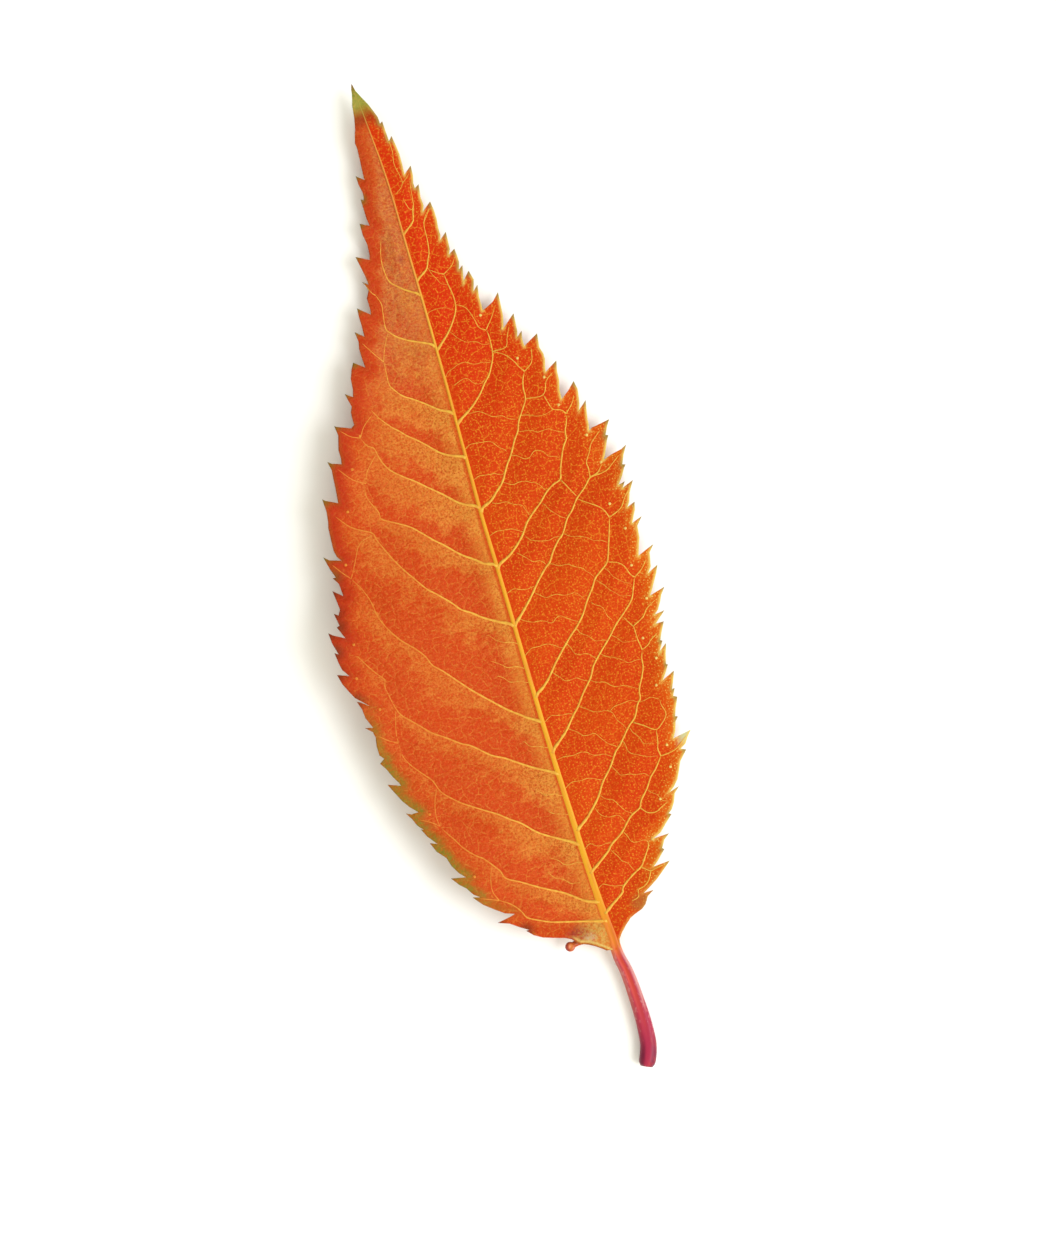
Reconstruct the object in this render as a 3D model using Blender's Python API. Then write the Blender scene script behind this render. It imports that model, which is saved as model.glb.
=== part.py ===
"""Autumn leaf: one grown piece with a serrate folded blade, vein relief, stalk and nectar gland.

Plan lists are in millimetres, x across and y along the midrib, with the blade's base at (0, 0).
"""
import math

import bmesh
import bpy
import numpy as np
from mathutils import Vector
from mathutils.geometry import delaunay_2d_cdt

MM = 0.001
BLADE_THICKNESS = 0.68
FOLD_SLOPE = 0.40
FOLD_EASE = 1.2
FOLD_CURL = 0.009
FOLD_START = 2.4
RIGHT_START = 3.2
RIGHT_SLOPE = 0.055
FLAT_Y0 = 24.0
FLAT_Y1 = 56.0
BASE_LIFT = 0.9
TIP_LIFT = 1.5
QUILT_HEIGHT = 0.28
QUILT_REACH = 2.2
VEIN_TOP = 0.13
VEIN_UNDER = 0.32
VEIN_FOOT = 0.5
GRID_STEP = 1.25
RIB_STEP = 1.15
STALK_HALF_HEIGHT = 0.9
CHANNEL_DEPTH = 0.2
GLAND_CENTRE = (-4.0, 1.6)
GLAND_RADIUS = 0.5
GLAND_ARC_POINTS = 10

# Right margin from the base to the tip, one tooth to a line: flank points, tooth tip, sinus.
RIGHT_MARGIN = (
    (0.95, 0.9), (1.35, 1.45), (2.0, 2.1), (2.6, 2.6), (3.5, 2.98), (4.45, 3.5), (4.9, 4.2), (5.62, 4.62),
    (4.6, 4.6), (5.5, 5.1), (6.3, 5.6), (7.2, 6.3), (8.05, 6.97), (6.3, 6.83),
    (7.4, 7.8), (7.83, 8.2), (7.65, 8.35), (8.1, 9.1), (8.74, 9.58), (7.05, 9.5),
    (7.95, 9.9), (8.7, 10.6), (9.53, 11.33), (9.35, 11.5), (10.1, 12.4), (10.45, 13.25), (11.05, 13.8),
    (9.98, 13.5), (10.5, 13.85), (11.1, 14.5), (11.9, 16.15), (12.8, 17.1), (12.3, 17.35), (13.3, 18.3),
    (13.8, 18.86), (11.9, 18.53), (12.3, 19.2), (12.94, 20.5), (12.7, 20.6), (13.0, 21.4), (13.47, 22.4),
    (13.15, 22.6), (13.5, 23.95), (13.92, 25.0), (12.58, 24.4), (13.1, 25.1), (13.5, 25.76),
    (13.35, 25.85), (13.6, 26.8), (13.97, 27.88), (13.12, 27.1), (13.67, 28.18), (13.5, 28.3),
    (13.8, 28.95), (14.38, 30.0), (13.55, 29.9), (14.76, 31.03), (13.7, 30.9), (14.15, 31.3), (14.9, 32.6),
    (15.44, 33.29), (13.8, 32.85), (14.6, 34.1), (15.05, 34.85), (15.4, 35.6), (14.3, 35.08),
    (14.9, 36.5), (15.64, 37.7), (13.85, 37.0), (14.45, 38.7), (14.6, 39.9), (15.29, 40.68), (14.2, 40.3),
    (14.83, 41.5), (15.03, 42.27), (14.2, 41.97), (14.83, 43.3), (15.5, 44.4), (14.3, 43.94),
    (14.68, 44.6), (14.0, 44.5), (14.6, 45.1), (15.26, 46.1), (14.95, 46.2), (15.35, 47.1), (15.9, 48.0),
    (14.3, 47.5), (13.3, 47.2), (13.85, 48.2), (14.45, 49.4), (14.2, 49.5), (15.0, 50.9), (13.1, 50.6),
    (12.75, 50.4), (12.95, 51.6), (13.3, 53.4), (12.4, 52.65), (12.75, 54.0), (12.7, 55.56),
    (12.4, 55.08), (11.05, 54.2), (11.35, 56.1), (11.4, 57.0), (11.65, 58.03), (10.3, 57.27),
    (10.6, 58.5), (10.4, 59.8), (10.6, 61.2), (9.0, 60.35), (9.2, 61.9), (8.6, 61.44), (8.85, 62.9),
    (8.92, 63.8), (7.5, 62.65), (7.86, 63.9), (7.94, 64.85), (8.05, 66.3), (7.3, 65.5), (6.05, 65.0),
    (6.1, 66.4), (6.3, 67.6), (5.75, 67.1), (6.1, 68.2), (5.86, 69.2), (5.1, 68.2), (5.44, 69.9),
    (4.98, 69.6), (5.2, 70.9), (5.14, 71.7), (4.45, 71.3), (4.76, 72.7), (4.8, 73.56), (4.05, 72.95),
    (4.2, 74.2), (4.3, 75.9), (4.18, 76.9), (3.2, 76.15), (3.4, 77.6), (3.58, 78.86), (3.12, 78.6),
    (3.3, 79.9), (3.36, 80.86), (2.53, 80.2), (2.62, 82.3), (2.38, 84.2), (2.0, 83.8), (1.92, 85.86),
    (1.65, 85.7), (1.4, 87.0), (1.1, 87.8), (0.64, 88.7), (0.26, 89.5),
)
LEAF_TIP = (0.03, 90.2)
# Left margin from the gland to the tip, in the same order.
LEFT_MARGIN = (
    (-4.2, 2.62), (-5.1, 2.9), (-6.3, 3.36), (-7.1, 3.86), (-7.7, 4.5), (-7.4, 4.55), (-8.15, 5.0),
    (-9.06, 5.7), (-10.17, 6.14), (-8.9, 6.3), (-8.3, 6.44), (-9.2, 6.8), (-10.1, 7.5), (-11.03, 8.3),
    (-11.8, 9.3), (-11.1, 9.1), (-12.1, 10.3), (-13.3, 11.74), (-11.85, 11.4), (-12.4, 12.0),
    (-13.15, 13.8), (-13.9, 14.7), (-14.3, 15.7), (-13.6, 15.3), (-14.75, 17.25), (-14.4, 17.0),
    (-15.3, 18.5), (-15.72, 19.2), (-14.5, 18.95), (-15.2, 19.7), (-16.2, 21.5), (-16.64, 22.45),
    (-15.4, 21.97), (-15.9, 23.0), (-16.73, 24.65), (-16.2, 24.8), (-16.56, 26.0), (-16.4, 27.3),
    (-16.5, 27.9), (-17.14, 28.47), (-16.35, 28.25), (-16.8, 29.4), (-17.14, 31.2), (-16.0, 30.35),
    (-17.2, 31.6), (-18.0, 33.3), (-18.23, 34.3), (-17.1, 33.86), (-17.75, 35.4), (-17.85, 36.45),
    (-17.5, 36.2), (-17.87, 38.5), (-17.4, 38.05), (-16.4, 37.55), (-16.9, 38.8), (-16.6, 38.9),
    (-16.8, 40.2), (-16.4, 39.9), (-16.2, 41.5), (-16.3, 42.4), (-15.4, 41.5), (-15.9, 43.6),
    (-15.6, 43.6), (-16.2, 45.85), (-14.6, 45.05), (-15.05, 46.2), (-14.9, 48.5), (-14.6, 50.15),
    (-14.64, 51.4), (-13.25, 50.6), (-13.08, 52.0), (-12.9, 53.9), (-13.08, 54.8), (-11.8, 54.2),
    (-11.7, 55.6), (-11.3, 57.0), (-11.4, 58.03), (-9.85, 57.35), (-9.5, 58.2), (-9.2, 59.4),
    (-9.5, 60.8), (-8.8, 60.3), (-8.5, 62.1), (-7.8, 63.6), (-6.8, 62.8), (-6.86, 64.7), (-6.8, 66.5),
    (-6.0, 65.8), (-5.95, 67.9), (-5.88, 68.7), (-4.75, 67.75), (-4.67, 69.4), (-4.4, 70.3),
    (-4.66, 71.1), (-4.1, 70.7), (-4.36, 72.6), (-4.55, 73.67), (-3.3, 73.05), (-3.08, 74.6),
    (-3.2, 76.75), (-2.3, 76.3), (-2.4, 78.06), (-2.4, 79.05), (-2.1, 78.9), (-2.2, 81.4),
    (-1.48, 80.8), (-1.33, 82.9), (-1.33, 84.5), (-1.1, 85.33), (-0.9, 85.86), (-0.65, 87.0),
    (-0.5, 88.2), (-0.2, 89.27),
)
# From the gland down the left side of the base to the stalk.
BASE_LEFT = ((-3.05, 1.58), (-2.5, 1.43), (-2.0, 1.2), (-1.5, 0.9), (-1.0, 0.52), (-0.6, 0.18))
# The stalk's middle line and full width, from the blade down: x, y, width.
STALK = (
    (0.33, -0.3, 1.22), (0.4, -1.0, 1.25), (0.62, -2.0, 1.32), (0.73, -3.0, 1.4), (0.8, -4.0, 1.43),
    (0.83, -5.0, 1.46), (0.86, -6.0, 1.5), (0.87, -7.0, 1.55), (0.85, -8.0, 1.59), (0.79, -9.0, 1.63),
    (0.66, -10.0, 1.67), (0.35, -11.0, 1.7), (-0.12, -12.0, 1.72),
)
# The midrib's middle line and full width on the underside, from the base up: x, y, width.
MIDRIB = (
    (0.3, 0.0, 1.2), (0.3, 1.5, 1.12), (0.2, 3.0, 1.06), (0.1, 5.0, 1.0), (-0.05, 10.0, 0.92),
    (-0.1, 15.0, 0.88), (-0.15, 20.0, 0.84), (-0.15, 25.0, 0.8), (-0.1, 30.0, 0.78), (0.0, 40.0, 0.72),
    (0.0, 45.0, 0.7), (0.15, 50.0, 0.66), (0.4, 58.0, 0.62), (0.55, 65.0, 0.6), (0.65, 75.0, 0.56),
    (0.7, 79.0, 0.54), (0.5, 84.0, 0.5), (0.25, 88.0, 0.42), (0.1, 89.3, 0.36),
)
# Secondary veins, each from the midrib outward.
VEINS = (
    ((0.44, 3.94), (2.56, 5.23), (4.0, 6.6), (5.06, 7.15), (6.4, 8.6)),
    ((0.29, 8.26), (2.4, 9.6), (4.2, 10.95), (5.67, 12.35), (7.03, 13.5), (8.6, 15.45), (10.2, 17.2)),
    ((0.29, 12.7), (1.95, 13.94), (3.85, 16.3), (5.97, 18.86), (7.94, 20.9), (8.85, 21.67), (9.9, 23.3),
     (10.67, 25.3), (11.5, 27.9)),
    ((0.29, 21.06), (1.95, 22.4), (3.7, 24.3), (5.74, 26.7), (7.6, 29.0), (9.76, 31.1), (10.97, 32.1),
     (12.4, 34.0), (12.86, 35.08)),
    ((0.06, 26.67), (1.8, 27.95), (4.0, 30.3), (5.97, 32.05), (7.64, 34.17), (9.08, 36.1), (10.67, 37.3),
     (11.3, 38.9), (12.18, 41.5)),
    ((0.29, 34.17), (2.5, 36.3), (4.7, 38.6), (6.6, 40.76), (8.1, 42.6), (9.6, 44.24), (11.5, 45.9),
     (13.17, 46.3)),
    ((0.2, 40.15), (1.73, 40.9), (4.15, 43.4), (6.05, 44.95), (7.8, 46.3), (8.9, 47.5), (9.9, 49.7),
     (11.05, 52.7)),
    ((0.2, 46.1), (2.2, 47.3), (3.85, 49.4), (5.36, 51.67), (7.03, 54.4), (7.7, 56.4), (8.3, 57.95)),
    ((0.5, 55.1), (2.2, 56.06), (4.1, 57.95), (5.2, 59.3), (5.9, 61.8), (6.0, 63.2)),
    ((0.74, 62.8), (2.03, 63.8), (3.55, 66.0), (3.67, 67.3), (3.4, 69.6)),
    ((0.9, 70.0), (2.26, 71.4), (2.8, 73.3), (2.94, 75.08)),
    ((0.97, 74.8), (1.95, 75.6), (2.4, 76.8)),
    ((-0.05, 3.1), (-2.85, 3.86), (-5.1, 4.55), (-7.24, 5.7), (-8.6, 7.65), (-9.4, 8.2)),
    ((-0.12, 5.15), (-1.94, 6.06), (-4.97, 8.03), (-8.15, 10.08), (-9.67, 12.6), (-11.3, 14.24),
     (-12.9, 16.97)),
    ((-0.2, 11.2), (-1.94, 12.2), (-5.1, 14.8), (-8.15, 17.1), (-10.4, 18.7), (-11.94, 20.45),
     (-13.9, 23.6), (-14.44, 26.06)),
    ((-0.27, 18.64), (-3.3, 20.4), (-6.03, 22.2), (-8.6, 24.24), (-11.03, 26.1), (-13.4, 28.7),
     (-14.1, 31.8), (-14.5, 33.3), (-15.8, 35.4)),
    ((-0.27, 24.1), (-1.94, 25.08), (-4.4, 27.3), (-7.1, 30.3), (-9.0, 32.5), (-11.2, 35.7),
     (-12.8, 38.8), (-13.15, 40.9), (-14.2, 43.03)),
    ((-0.35, 34.24), (-2.7, 35.5), (-4.67, 36.97), (-6.5, 39.1), (-8.3, 41.36), (-9.74, 43.8),
     (-10.9, 46.8), (-13.0, 48.2)),
    ((-0.12, 40.4), (-1.94, 41.4), (-4.4, 43.6), (-7.1, 46.3), (-9.7, 47.65), (-10.1, 49.5),
     (-10.1, 51.7)),
    ((-0.05, 46.5), (-1.94, 47.4), (-4.4, 49.7), (-6.3, 51.3), (-7.9, 53.2), (-8.3, 54.85), (-9.3, 56.2)),
    ((0.03, 51.7), (-2.24, 52.7), (-3.9, 54.4), (-6.03, 56.4), (-7.4, 58.4)),
    ((0.18, 56.2), (-2.1, 57.7), (-4.06, 59.1), (-5.05, 60.6), (-4.9, 62.9)),
    ((0.4, 63.2), (-1.94, 64.3), (-3.4, 65.45), (-3.6, 67.4), (-3.76, 69.5)),
    ((0.48, 68.56), (-1.5, 69.85), (-2.1, 70.6), (-2.1, 73.2), (-1.64, 74.7)),
)


def smooth(t):
    """Cubic ease from 0 to 1."""
    t = np.clip(t, 0.0, 1.0)
    return t * t * (3.0 - 2.0 * t)


def resample(points, step):
    """Points spaced about one step apart along a line of points."""
    p = np.array(points, float)
    arc = np.concatenate(([0.0], np.cumsum(np.hypot(*np.diff(p, axis=0)[:, :2].T))))
    count = max(2, int(round(arc[-1] / step)) + 1)
    at = np.linspace(0.0, arc[-1], count)
    return np.column_stack([np.interp(at, arc, p[:, k]) for k in range(p.shape[1])])


def offset(line, amount):
    """The line moved sideways by an amount, to the left of its travel where positive."""
    t = np.gradient(line[:, :2], axis=0)
    t /= np.linalg.norm(t, axis=1)[:, None]
    return line[:, :2] + np.column_stack((-t[:, 1], t[:, 0])) * np.reshape(amount, (-1, 1))


def nearest(points, segments):
    """Distance from each point to the nearest of the segments, and that segment's number."""
    a = segments[:, 0][None]
    d = (segments[:, 1] - segments[:, 0])[None]
    ap = points[:, None] - a
    t = np.clip((ap * d).sum(2) / np.maximum((d * d).sum(2), 1e-12), 0.0, 1.0)
    away = np.linalg.norm(ap - t[..., None] * d, axis=2)
    return away.min(1), away.argmin(1)


def inside(points, loop):
    """Whether each point lies inside the closed loop, by crossings of a level ray."""
    a = loop[None]
    b = np.roll(loop, -1, axis=0)[None]
    p = points[:, None]
    cross = (a[..., 1] > p[..., 1]) != (b[..., 1] > p[..., 1])
    rise = np.where(b[..., 1] == a[..., 1], 1e-12, b[..., 1] - a[..., 1])
    at = a[..., 0] + (p[..., 1] - a[..., 1]) * (b[..., 0] - a[..., 0]) / rise
    return (cross & (p[..., 0] < at)).sum(1) % 2 == 1


def as_segments(line):
    return np.stack((line[:-1], line[1:]), axis=1)


def stalk_axis():
    """The stalk and the midrib as one line from the stalk's end to the tip, with full widths."""
    return np.array(STALK[::-1] + MIDRIB, float)


def blade_floor(x, y):
    """Height of the blade's underside: flat round the weight, folded up on the left, eased at both ends."""
    axis = np.array(MIDRIB)
    u = x - np.interp(y, axis[:, 1], axis[:, 0])
    left = np.maximum(-u - FOLD_START, 0.0)
    right = np.maximum(u - RIGHT_START, 0.0)
    lift = FOLD_SLOPE * (np.sqrt(left ** 2 + FOLD_EASE ** 2) - FOLD_EASE) - FOLD_CURL * left ** 2
    lift += RIGHT_SLOPE * right * right / (right + 2.0)
    lift += 0.25 * smooth(left / 9.0) * np.sin(2.0 * math.pi * (y - 6.0) / 23.0)
    lift += 0.18 * smooth(right / 8.0) * (1.0 + np.sin(2.0 * math.pi * (y + 3.0) / 19.0))
    lift += BASE_LIFT * np.clip((FLAT_Y0 - y) / FLAT_Y0, 0.0, 1.0) ** 2
    lift += TIP_LIFT * np.clip((y - FLAT_Y1) / (90.2 - FLAT_Y1), 0.0, 1.0) ** 2
    return lift


def flat_spot(x, y):
    """1 on the flat spot under the weight, 0 away from it."""
    return (smooth((4.2 - np.abs(x - 0.2)) / 1.4) * smooth((y - FLAT_Y0 + 6.0) / 5.0)
            * smooth((FLAT_Y1 + 4.0 - y) / 5.0))


def heights(points, veins):
    """Top and underside heights at plan points: blade, vein relief, stalk with midrib, gland."""
    x, y = points.T
    floor = blade_floor(x, y)
    away, _ = nearest(points, veins)
    free = 1.0 - flat_spot(x, y)
    quilt = QUILT_HEIGHT * smooth(away / QUILT_REACH) * smooth(away / QUILT_REACH + 0.2)
    taper = smooth((91.0 - y) / 30.0) * 0.6 + 0.4
    rib = np.clip(1.0 - away / VEIN_FOOT, 0.0, 1.0) * taper
    under = floor + (quilt - VEIN_UNDER * rib) * free
    top = floor + BLADE_THICKNESS + quilt + VEIN_TOP * rib
    below = smooth(-y / 0.6)
    axis = stalk_axis()
    spine, part = nearest(points, as_segments(axis[:, :2]))
    half = np.interp(y, axis[:, 1], axis[:, 2]) * 0.5
    across = np.clip(spine / half, 0.0, 1.0)
    round_off = np.sqrt(1.0 - (0.94 * across) ** 2) * STALK_HALF_HEIGHT * half
    centre = np.interp(y, (-12.5, -6.0, 0.0, 3.0, 90.0), (0.83, 1.02, 1.12, 0.24, 0.24))
    centre = np.where(y > 0.0, blade_floor(np.interp(y, axis[:, 1], axis[:, 0]), y) + 0.24, centre)
    groove = CHANNEL_DEPTH * half * np.exp(-(across / 0.4) ** 2) * smooth((1.0 - y) / 2.0)
    on_spine = across < 0.999
    spine_top = centre + round_off - groove
    spine_under = centre - round_off
    middle = 1.12
    top = np.where(below > 0.0, middle + (top - middle) * (1.0 - below), top)
    under = np.where(below > 0.0, middle + (under - middle) * (1.0 - below), under)
    top = np.where(on_spine, np.maximum(top, spine_top), top)
    under = np.where(on_spine, np.minimum(under, spine_under), under)
    edge = (y < 0.0) & ~on_spine
    top = np.where(edge, spine_top, top)
    under = np.where(edge, spine_under, under)
    knob = np.hypot(x - GLAND_CENTRE[0], y - GLAND_CENTRE[1]) / GLAND_RADIUS
    dome = 0.46 * np.sqrt(np.clip(1.0 - (0.8 * knob) ** 2, 0.0, 1.0))
    seat = blade_floor(np.full_like(x, GLAND_CENTRE[0]), np.full_like(x, GLAND_CENTRE[1])) + 0.38
    top = np.where(knob < 1.02, np.maximum(seat + dome, top), top)
    under = np.where(knob < 1.02, np.minimum(seat - dome, under), under)
    return top, np.maximum(under, 0.0)


def outline():
    """The whole leaf's outline, anticlockwise from the right of the stalk's end."""
    stalk = np.array(STALK[::-1])
    right = offset(stalk, -stalk[:, 2] * 0.5)
    left = offset(stalk, stalk[:, 2] * 0.5)[::-1]
    turn = np.linspace(math.radians(95.0), math.radians(325.0), GLAND_ARC_POINTS)
    knob = np.column_stack((GLAND_CENTRE[0] + GLAND_RADIUS * np.cos(turn),
                            GLAND_CENTRE[1] + GLAND_RADIUS * np.sin(turn)))
    neck = ((-3.62, 2.3), (-3.5, 2.14))
    return np.vstack((right, RIGHT_MARGIN, [LEAF_TIP], LEFT_MARGIN[::-1], neck, knob, BASE_LEFT, left))


def plan_points(loop):
    """Points and edges inside the outline: ribs as lines, then a staggered grid between them."""
    rim = as_segments(np.vstack((loop, loop[:1])))
    axis = stalk_axis()
    lines = []
    spine = resample(axis, RIB_STEP)[1:-1]
    for side in (-1.0, -0.55, 0.0, 0.55, 1.0):
        lines.append(offset(spine, side * spine[:, 2] * 0.5))
    for vein in VEINS:
        centre = resample(vein, RIB_STEP)
        lines.append(centre)
        lines.append(offset(centre, VEIN_FOOT)[1:])
        lines.append(offset(centre, -VEIN_FOOT)[1:])
    points = []
    edges = []
    for line in lines:
        far, _ = nearest(line, rim)
        keep = inside(line, loop) & (far > 0.22)
        if points:
            taken = np.vstack(points)
            gap = np.linalg.norm(line[:, None] - taken[None], axis=2).min(1)
            keep &= gap > 0.2
        start = sum(len(p) for p in points)
        number = np.cumsum(keep) - 1 + start
        both = keep[:-1] & keep[1:]
        edges += list(zip(number[:-1][both].tolist(), number[1:][both].tolist()))
        if keep.any():
            points.append(line[keep])
    ribs = np.vstack(points)
    rows = np.arange(0.5, 90.0, GRID_STEP * 0.86)
    columns = np.arange(-19.0, 17.0, GRID_STEP)
    grid = np.array([(c + (k % 2) * GRID_STEP * 0.5, r) for k, r in enumerate(rows) for c in columns])
    grid = grid[inside(grid, loop)]
    grid = grid[nearest(grid, rim)[0] > 0.6]
    grid = grid[np.linalg.norm(grid[:, None] - ribs[None], axis=2).min(1) > 0.62]
    gland = [GLAND_CENTRE, (-3.72, 1.72), (-4.22, 1.5), (-3.3, 1.85)]
    return np.vstack((ribs, grid, gland)), edges


def build():
    loop = outline()
    inner, edges = plan_points(loop)
    ring = len(loop)
    coords = [Vector(p) for p in np.vstack((loop, inner)).tolist()]
    lines = [(k, (k + 1) % ring) for k in range(ring)]
    lines += [(a + ring, b + ring) for a, b in edges]
    made = delaunay_2d_cdt(coords, lines, [list(range(ring))], 1, 1e-5, True)
    plan = np.array([tuple(v) for v in made[0]])
    faces = np.array([tuple(f) for f in made[2]])
    faces = faces[inside(plan[faces].mean(1), loop)]
    used, faces = np.unique(faces, return_inverse=True)
    plan = plan[used]
    faces = faces.reshape(-1, 3).tolist()
    veins = np.vstack([as_segments(resample(v, RIB_STEP)) for v in VEINS])
    top, under = heights(plan, veins)
    lo, hi = plan.min(0), plan.max(0)
    plan = plan - (lo + hi) / 2.0
    count = len(plan)
    mesh = bmesh.new()
    upper = [mesh.verts.new((x * MM, y * MM, z * MM)) for (x, y), z in zip(plan, top)]
    lower = [mesh.verts.new((x * MM, y * MM, z * MM)) for (x, y), z in zip(plan, under)]
    rim = {}
    for face in faces:
        a, b, c = face
        mesh.faces.new((upper[a], upper[b], upper[c]))
        mesh.faces.new((lower[c], lower[b], lower[a]))
        for p, q in ((a, b), (b, c), (c, a)):
            if (q, p) in rim:
                del rim[(q, p)]
            else:
                rim[(p, q)] = True
    for p, q in rim:
        mesh.faces.new((upper[q], upper[p], lower[p]))
        mesh.faces.new((upper[q], lower[p], lower[q]))
    bmesh.ops.recalc_face_normals(mesh, faces=mesh.faces)
    data = bpy.data.meshes.new("leaf")
    mesh.to_mesh(data)
    mesh.free()
    leaf = bpy.data.objects.new("leaf", data)
    bpy.context.scene.collection.objects.link(leaf)
    colour = bpy.data.materials.new("leaf")
    colour.use_nodes = True
    shader = colour.node_tree.nodes["Principled BSDF"]
    shader.inputs["Base Color"].default_value = (0.72, 0.085, 0.012, 1.0)
    shader.inputs["Roughness"].default_value = 0.42
    shader.inputs["Metallic"].default_value = 0.0
    data.materials.append(colour)
    offset_xy = ((lo + hi) / 2.0).round(3).tolist()
    print("leaf:", count * 2, "points,", len(data.polygons), "triangles, frame centre", offset_xy)
    return leaf


for item in list(bpy.data.objects):
    bpy.data.objects.remove(item, do_unlink=True)
build()
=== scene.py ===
"""Autumn leaf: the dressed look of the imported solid, as Blender operators.

Plan values are in millimetres in the leaf's own drawing: x across, y along the midrib from the blade's base.
They are moved to the part's frame by FRAME_CENTRE and written to the meshes in metres.
"""
import math

import bpy
import numpy as np
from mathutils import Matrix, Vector


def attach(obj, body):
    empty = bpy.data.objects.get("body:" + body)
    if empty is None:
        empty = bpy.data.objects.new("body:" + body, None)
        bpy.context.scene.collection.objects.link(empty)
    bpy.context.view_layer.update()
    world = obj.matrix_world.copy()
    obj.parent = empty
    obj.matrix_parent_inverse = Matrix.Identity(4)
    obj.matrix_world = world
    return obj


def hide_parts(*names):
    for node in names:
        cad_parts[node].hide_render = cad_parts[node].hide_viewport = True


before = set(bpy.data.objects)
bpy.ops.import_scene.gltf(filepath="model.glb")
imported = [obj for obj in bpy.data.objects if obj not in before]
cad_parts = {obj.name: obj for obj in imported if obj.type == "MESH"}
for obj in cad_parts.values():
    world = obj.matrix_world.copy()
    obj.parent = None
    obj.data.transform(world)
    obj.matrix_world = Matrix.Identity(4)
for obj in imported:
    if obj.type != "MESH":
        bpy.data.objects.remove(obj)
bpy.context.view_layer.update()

bl_info = {
    "name": "Autumn leaf",
    "version": (1, 0, 0),
    "blender": (4, 5, 0),
    "location": "3D View > Sidebar > Leaf",
    "description": "Builds a serrate autumn leaf with its veins, stalk and gland",
    "category": "Object",
}

MM = 0.001
# The drawing's point that lies at the middle of the part's frame.
FRAME_CENTRE = (-1.165, 38.917)
BODY = "root"
NODE = "leaf"
# How many times brighter than its paint the stage shows a flat piece.
STAGE_LIGHT = 1.6

# Folded form of the blade's underside, as in the solid.
BLADE_DEPTH = 0.68
FOLD_SLOPE = 0.40
FOLD_EASE = 1.2
FOLD_CURL = 0.009
FOLD_START = 2.4
RIGHT_START = 3.2
RIGHT_SLOPE = 0.055
FLAT_Y0 = 24.0
FLAT_Y1 = 56.0
BASE_LIFT = 0.9
TIP_LIFT = 1.5
BLADE_END = 90.2

# Rows of the blade's grid: how much a row rises for each millimetre outward, by its height on the midrib.
FAN = ((0.0, 4.0, 10.0, 16.0, 22.0, 30.0, 45.0, 60.0, 75.0, 91.0),
       (0.2, 0.3, 0.5, 0.75, 0.85, 0.92, 0.97, 1.05, 1.2, 1.3))
ROW_STEP = 0.15
INNER_COLUMNS = 21
RIM_COLUMNS = np.array((0.85, 0.6, 0.4, 0.24, 0.11, 0.0))
RIM_BAND = 1.15

# Smaller parts, in millimetres. A seat is how far a part's middle lies above or below its bed.
MIDRIB_SEAT = 0.48
STALK_SIDES = 36
RIB_HALF_WIDTH = 0.24
BEAD_RADIUS = 0.15
GLAND_ROOT = (-2.6, 1.9)
GLAND_HEAD = (-4.0, 1.6)
GLAND_LEVEL_AT = (-3.9, 2.5)
GLAND_SEAT = 0.09
GLAND_DROP = 0.18
GLAND_SIDES = 28

# Photograph frame: pixels of the 1056 x 1260 picture.
PHOTO_SIZE = (1056.0, 1260.0)
PHOTO_BASE = (613.0, 950.0)
PHOTO_TIP_OFFSET = (-261.0, 862.0)
PX_PER_MM = 10.0

# Stage, in metres and watts. Offsets are the photo's right and up, and height.
FLOOR_HALF = 1.2
KEY_OFFSET = (0.40, -0.10, 0.36)
KEY_SIZE = 0.42
KEY_WATTS = 3.32
KEY_COLOUR = (0.98, 0.98, 1.0)
FILL_SIZE = 0.55
FILL_COLOUR = (0.99, 0.99, 0.81)
FILLS = (
    ("fill left", (-0.28, -0.28, 0.3), 0.8),
    ("fill top", (0.05, 0.55, 0.4), 1.6),
    ("fill bottom", (0.1, -0.55, 0.4), 1.8),
)

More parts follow.
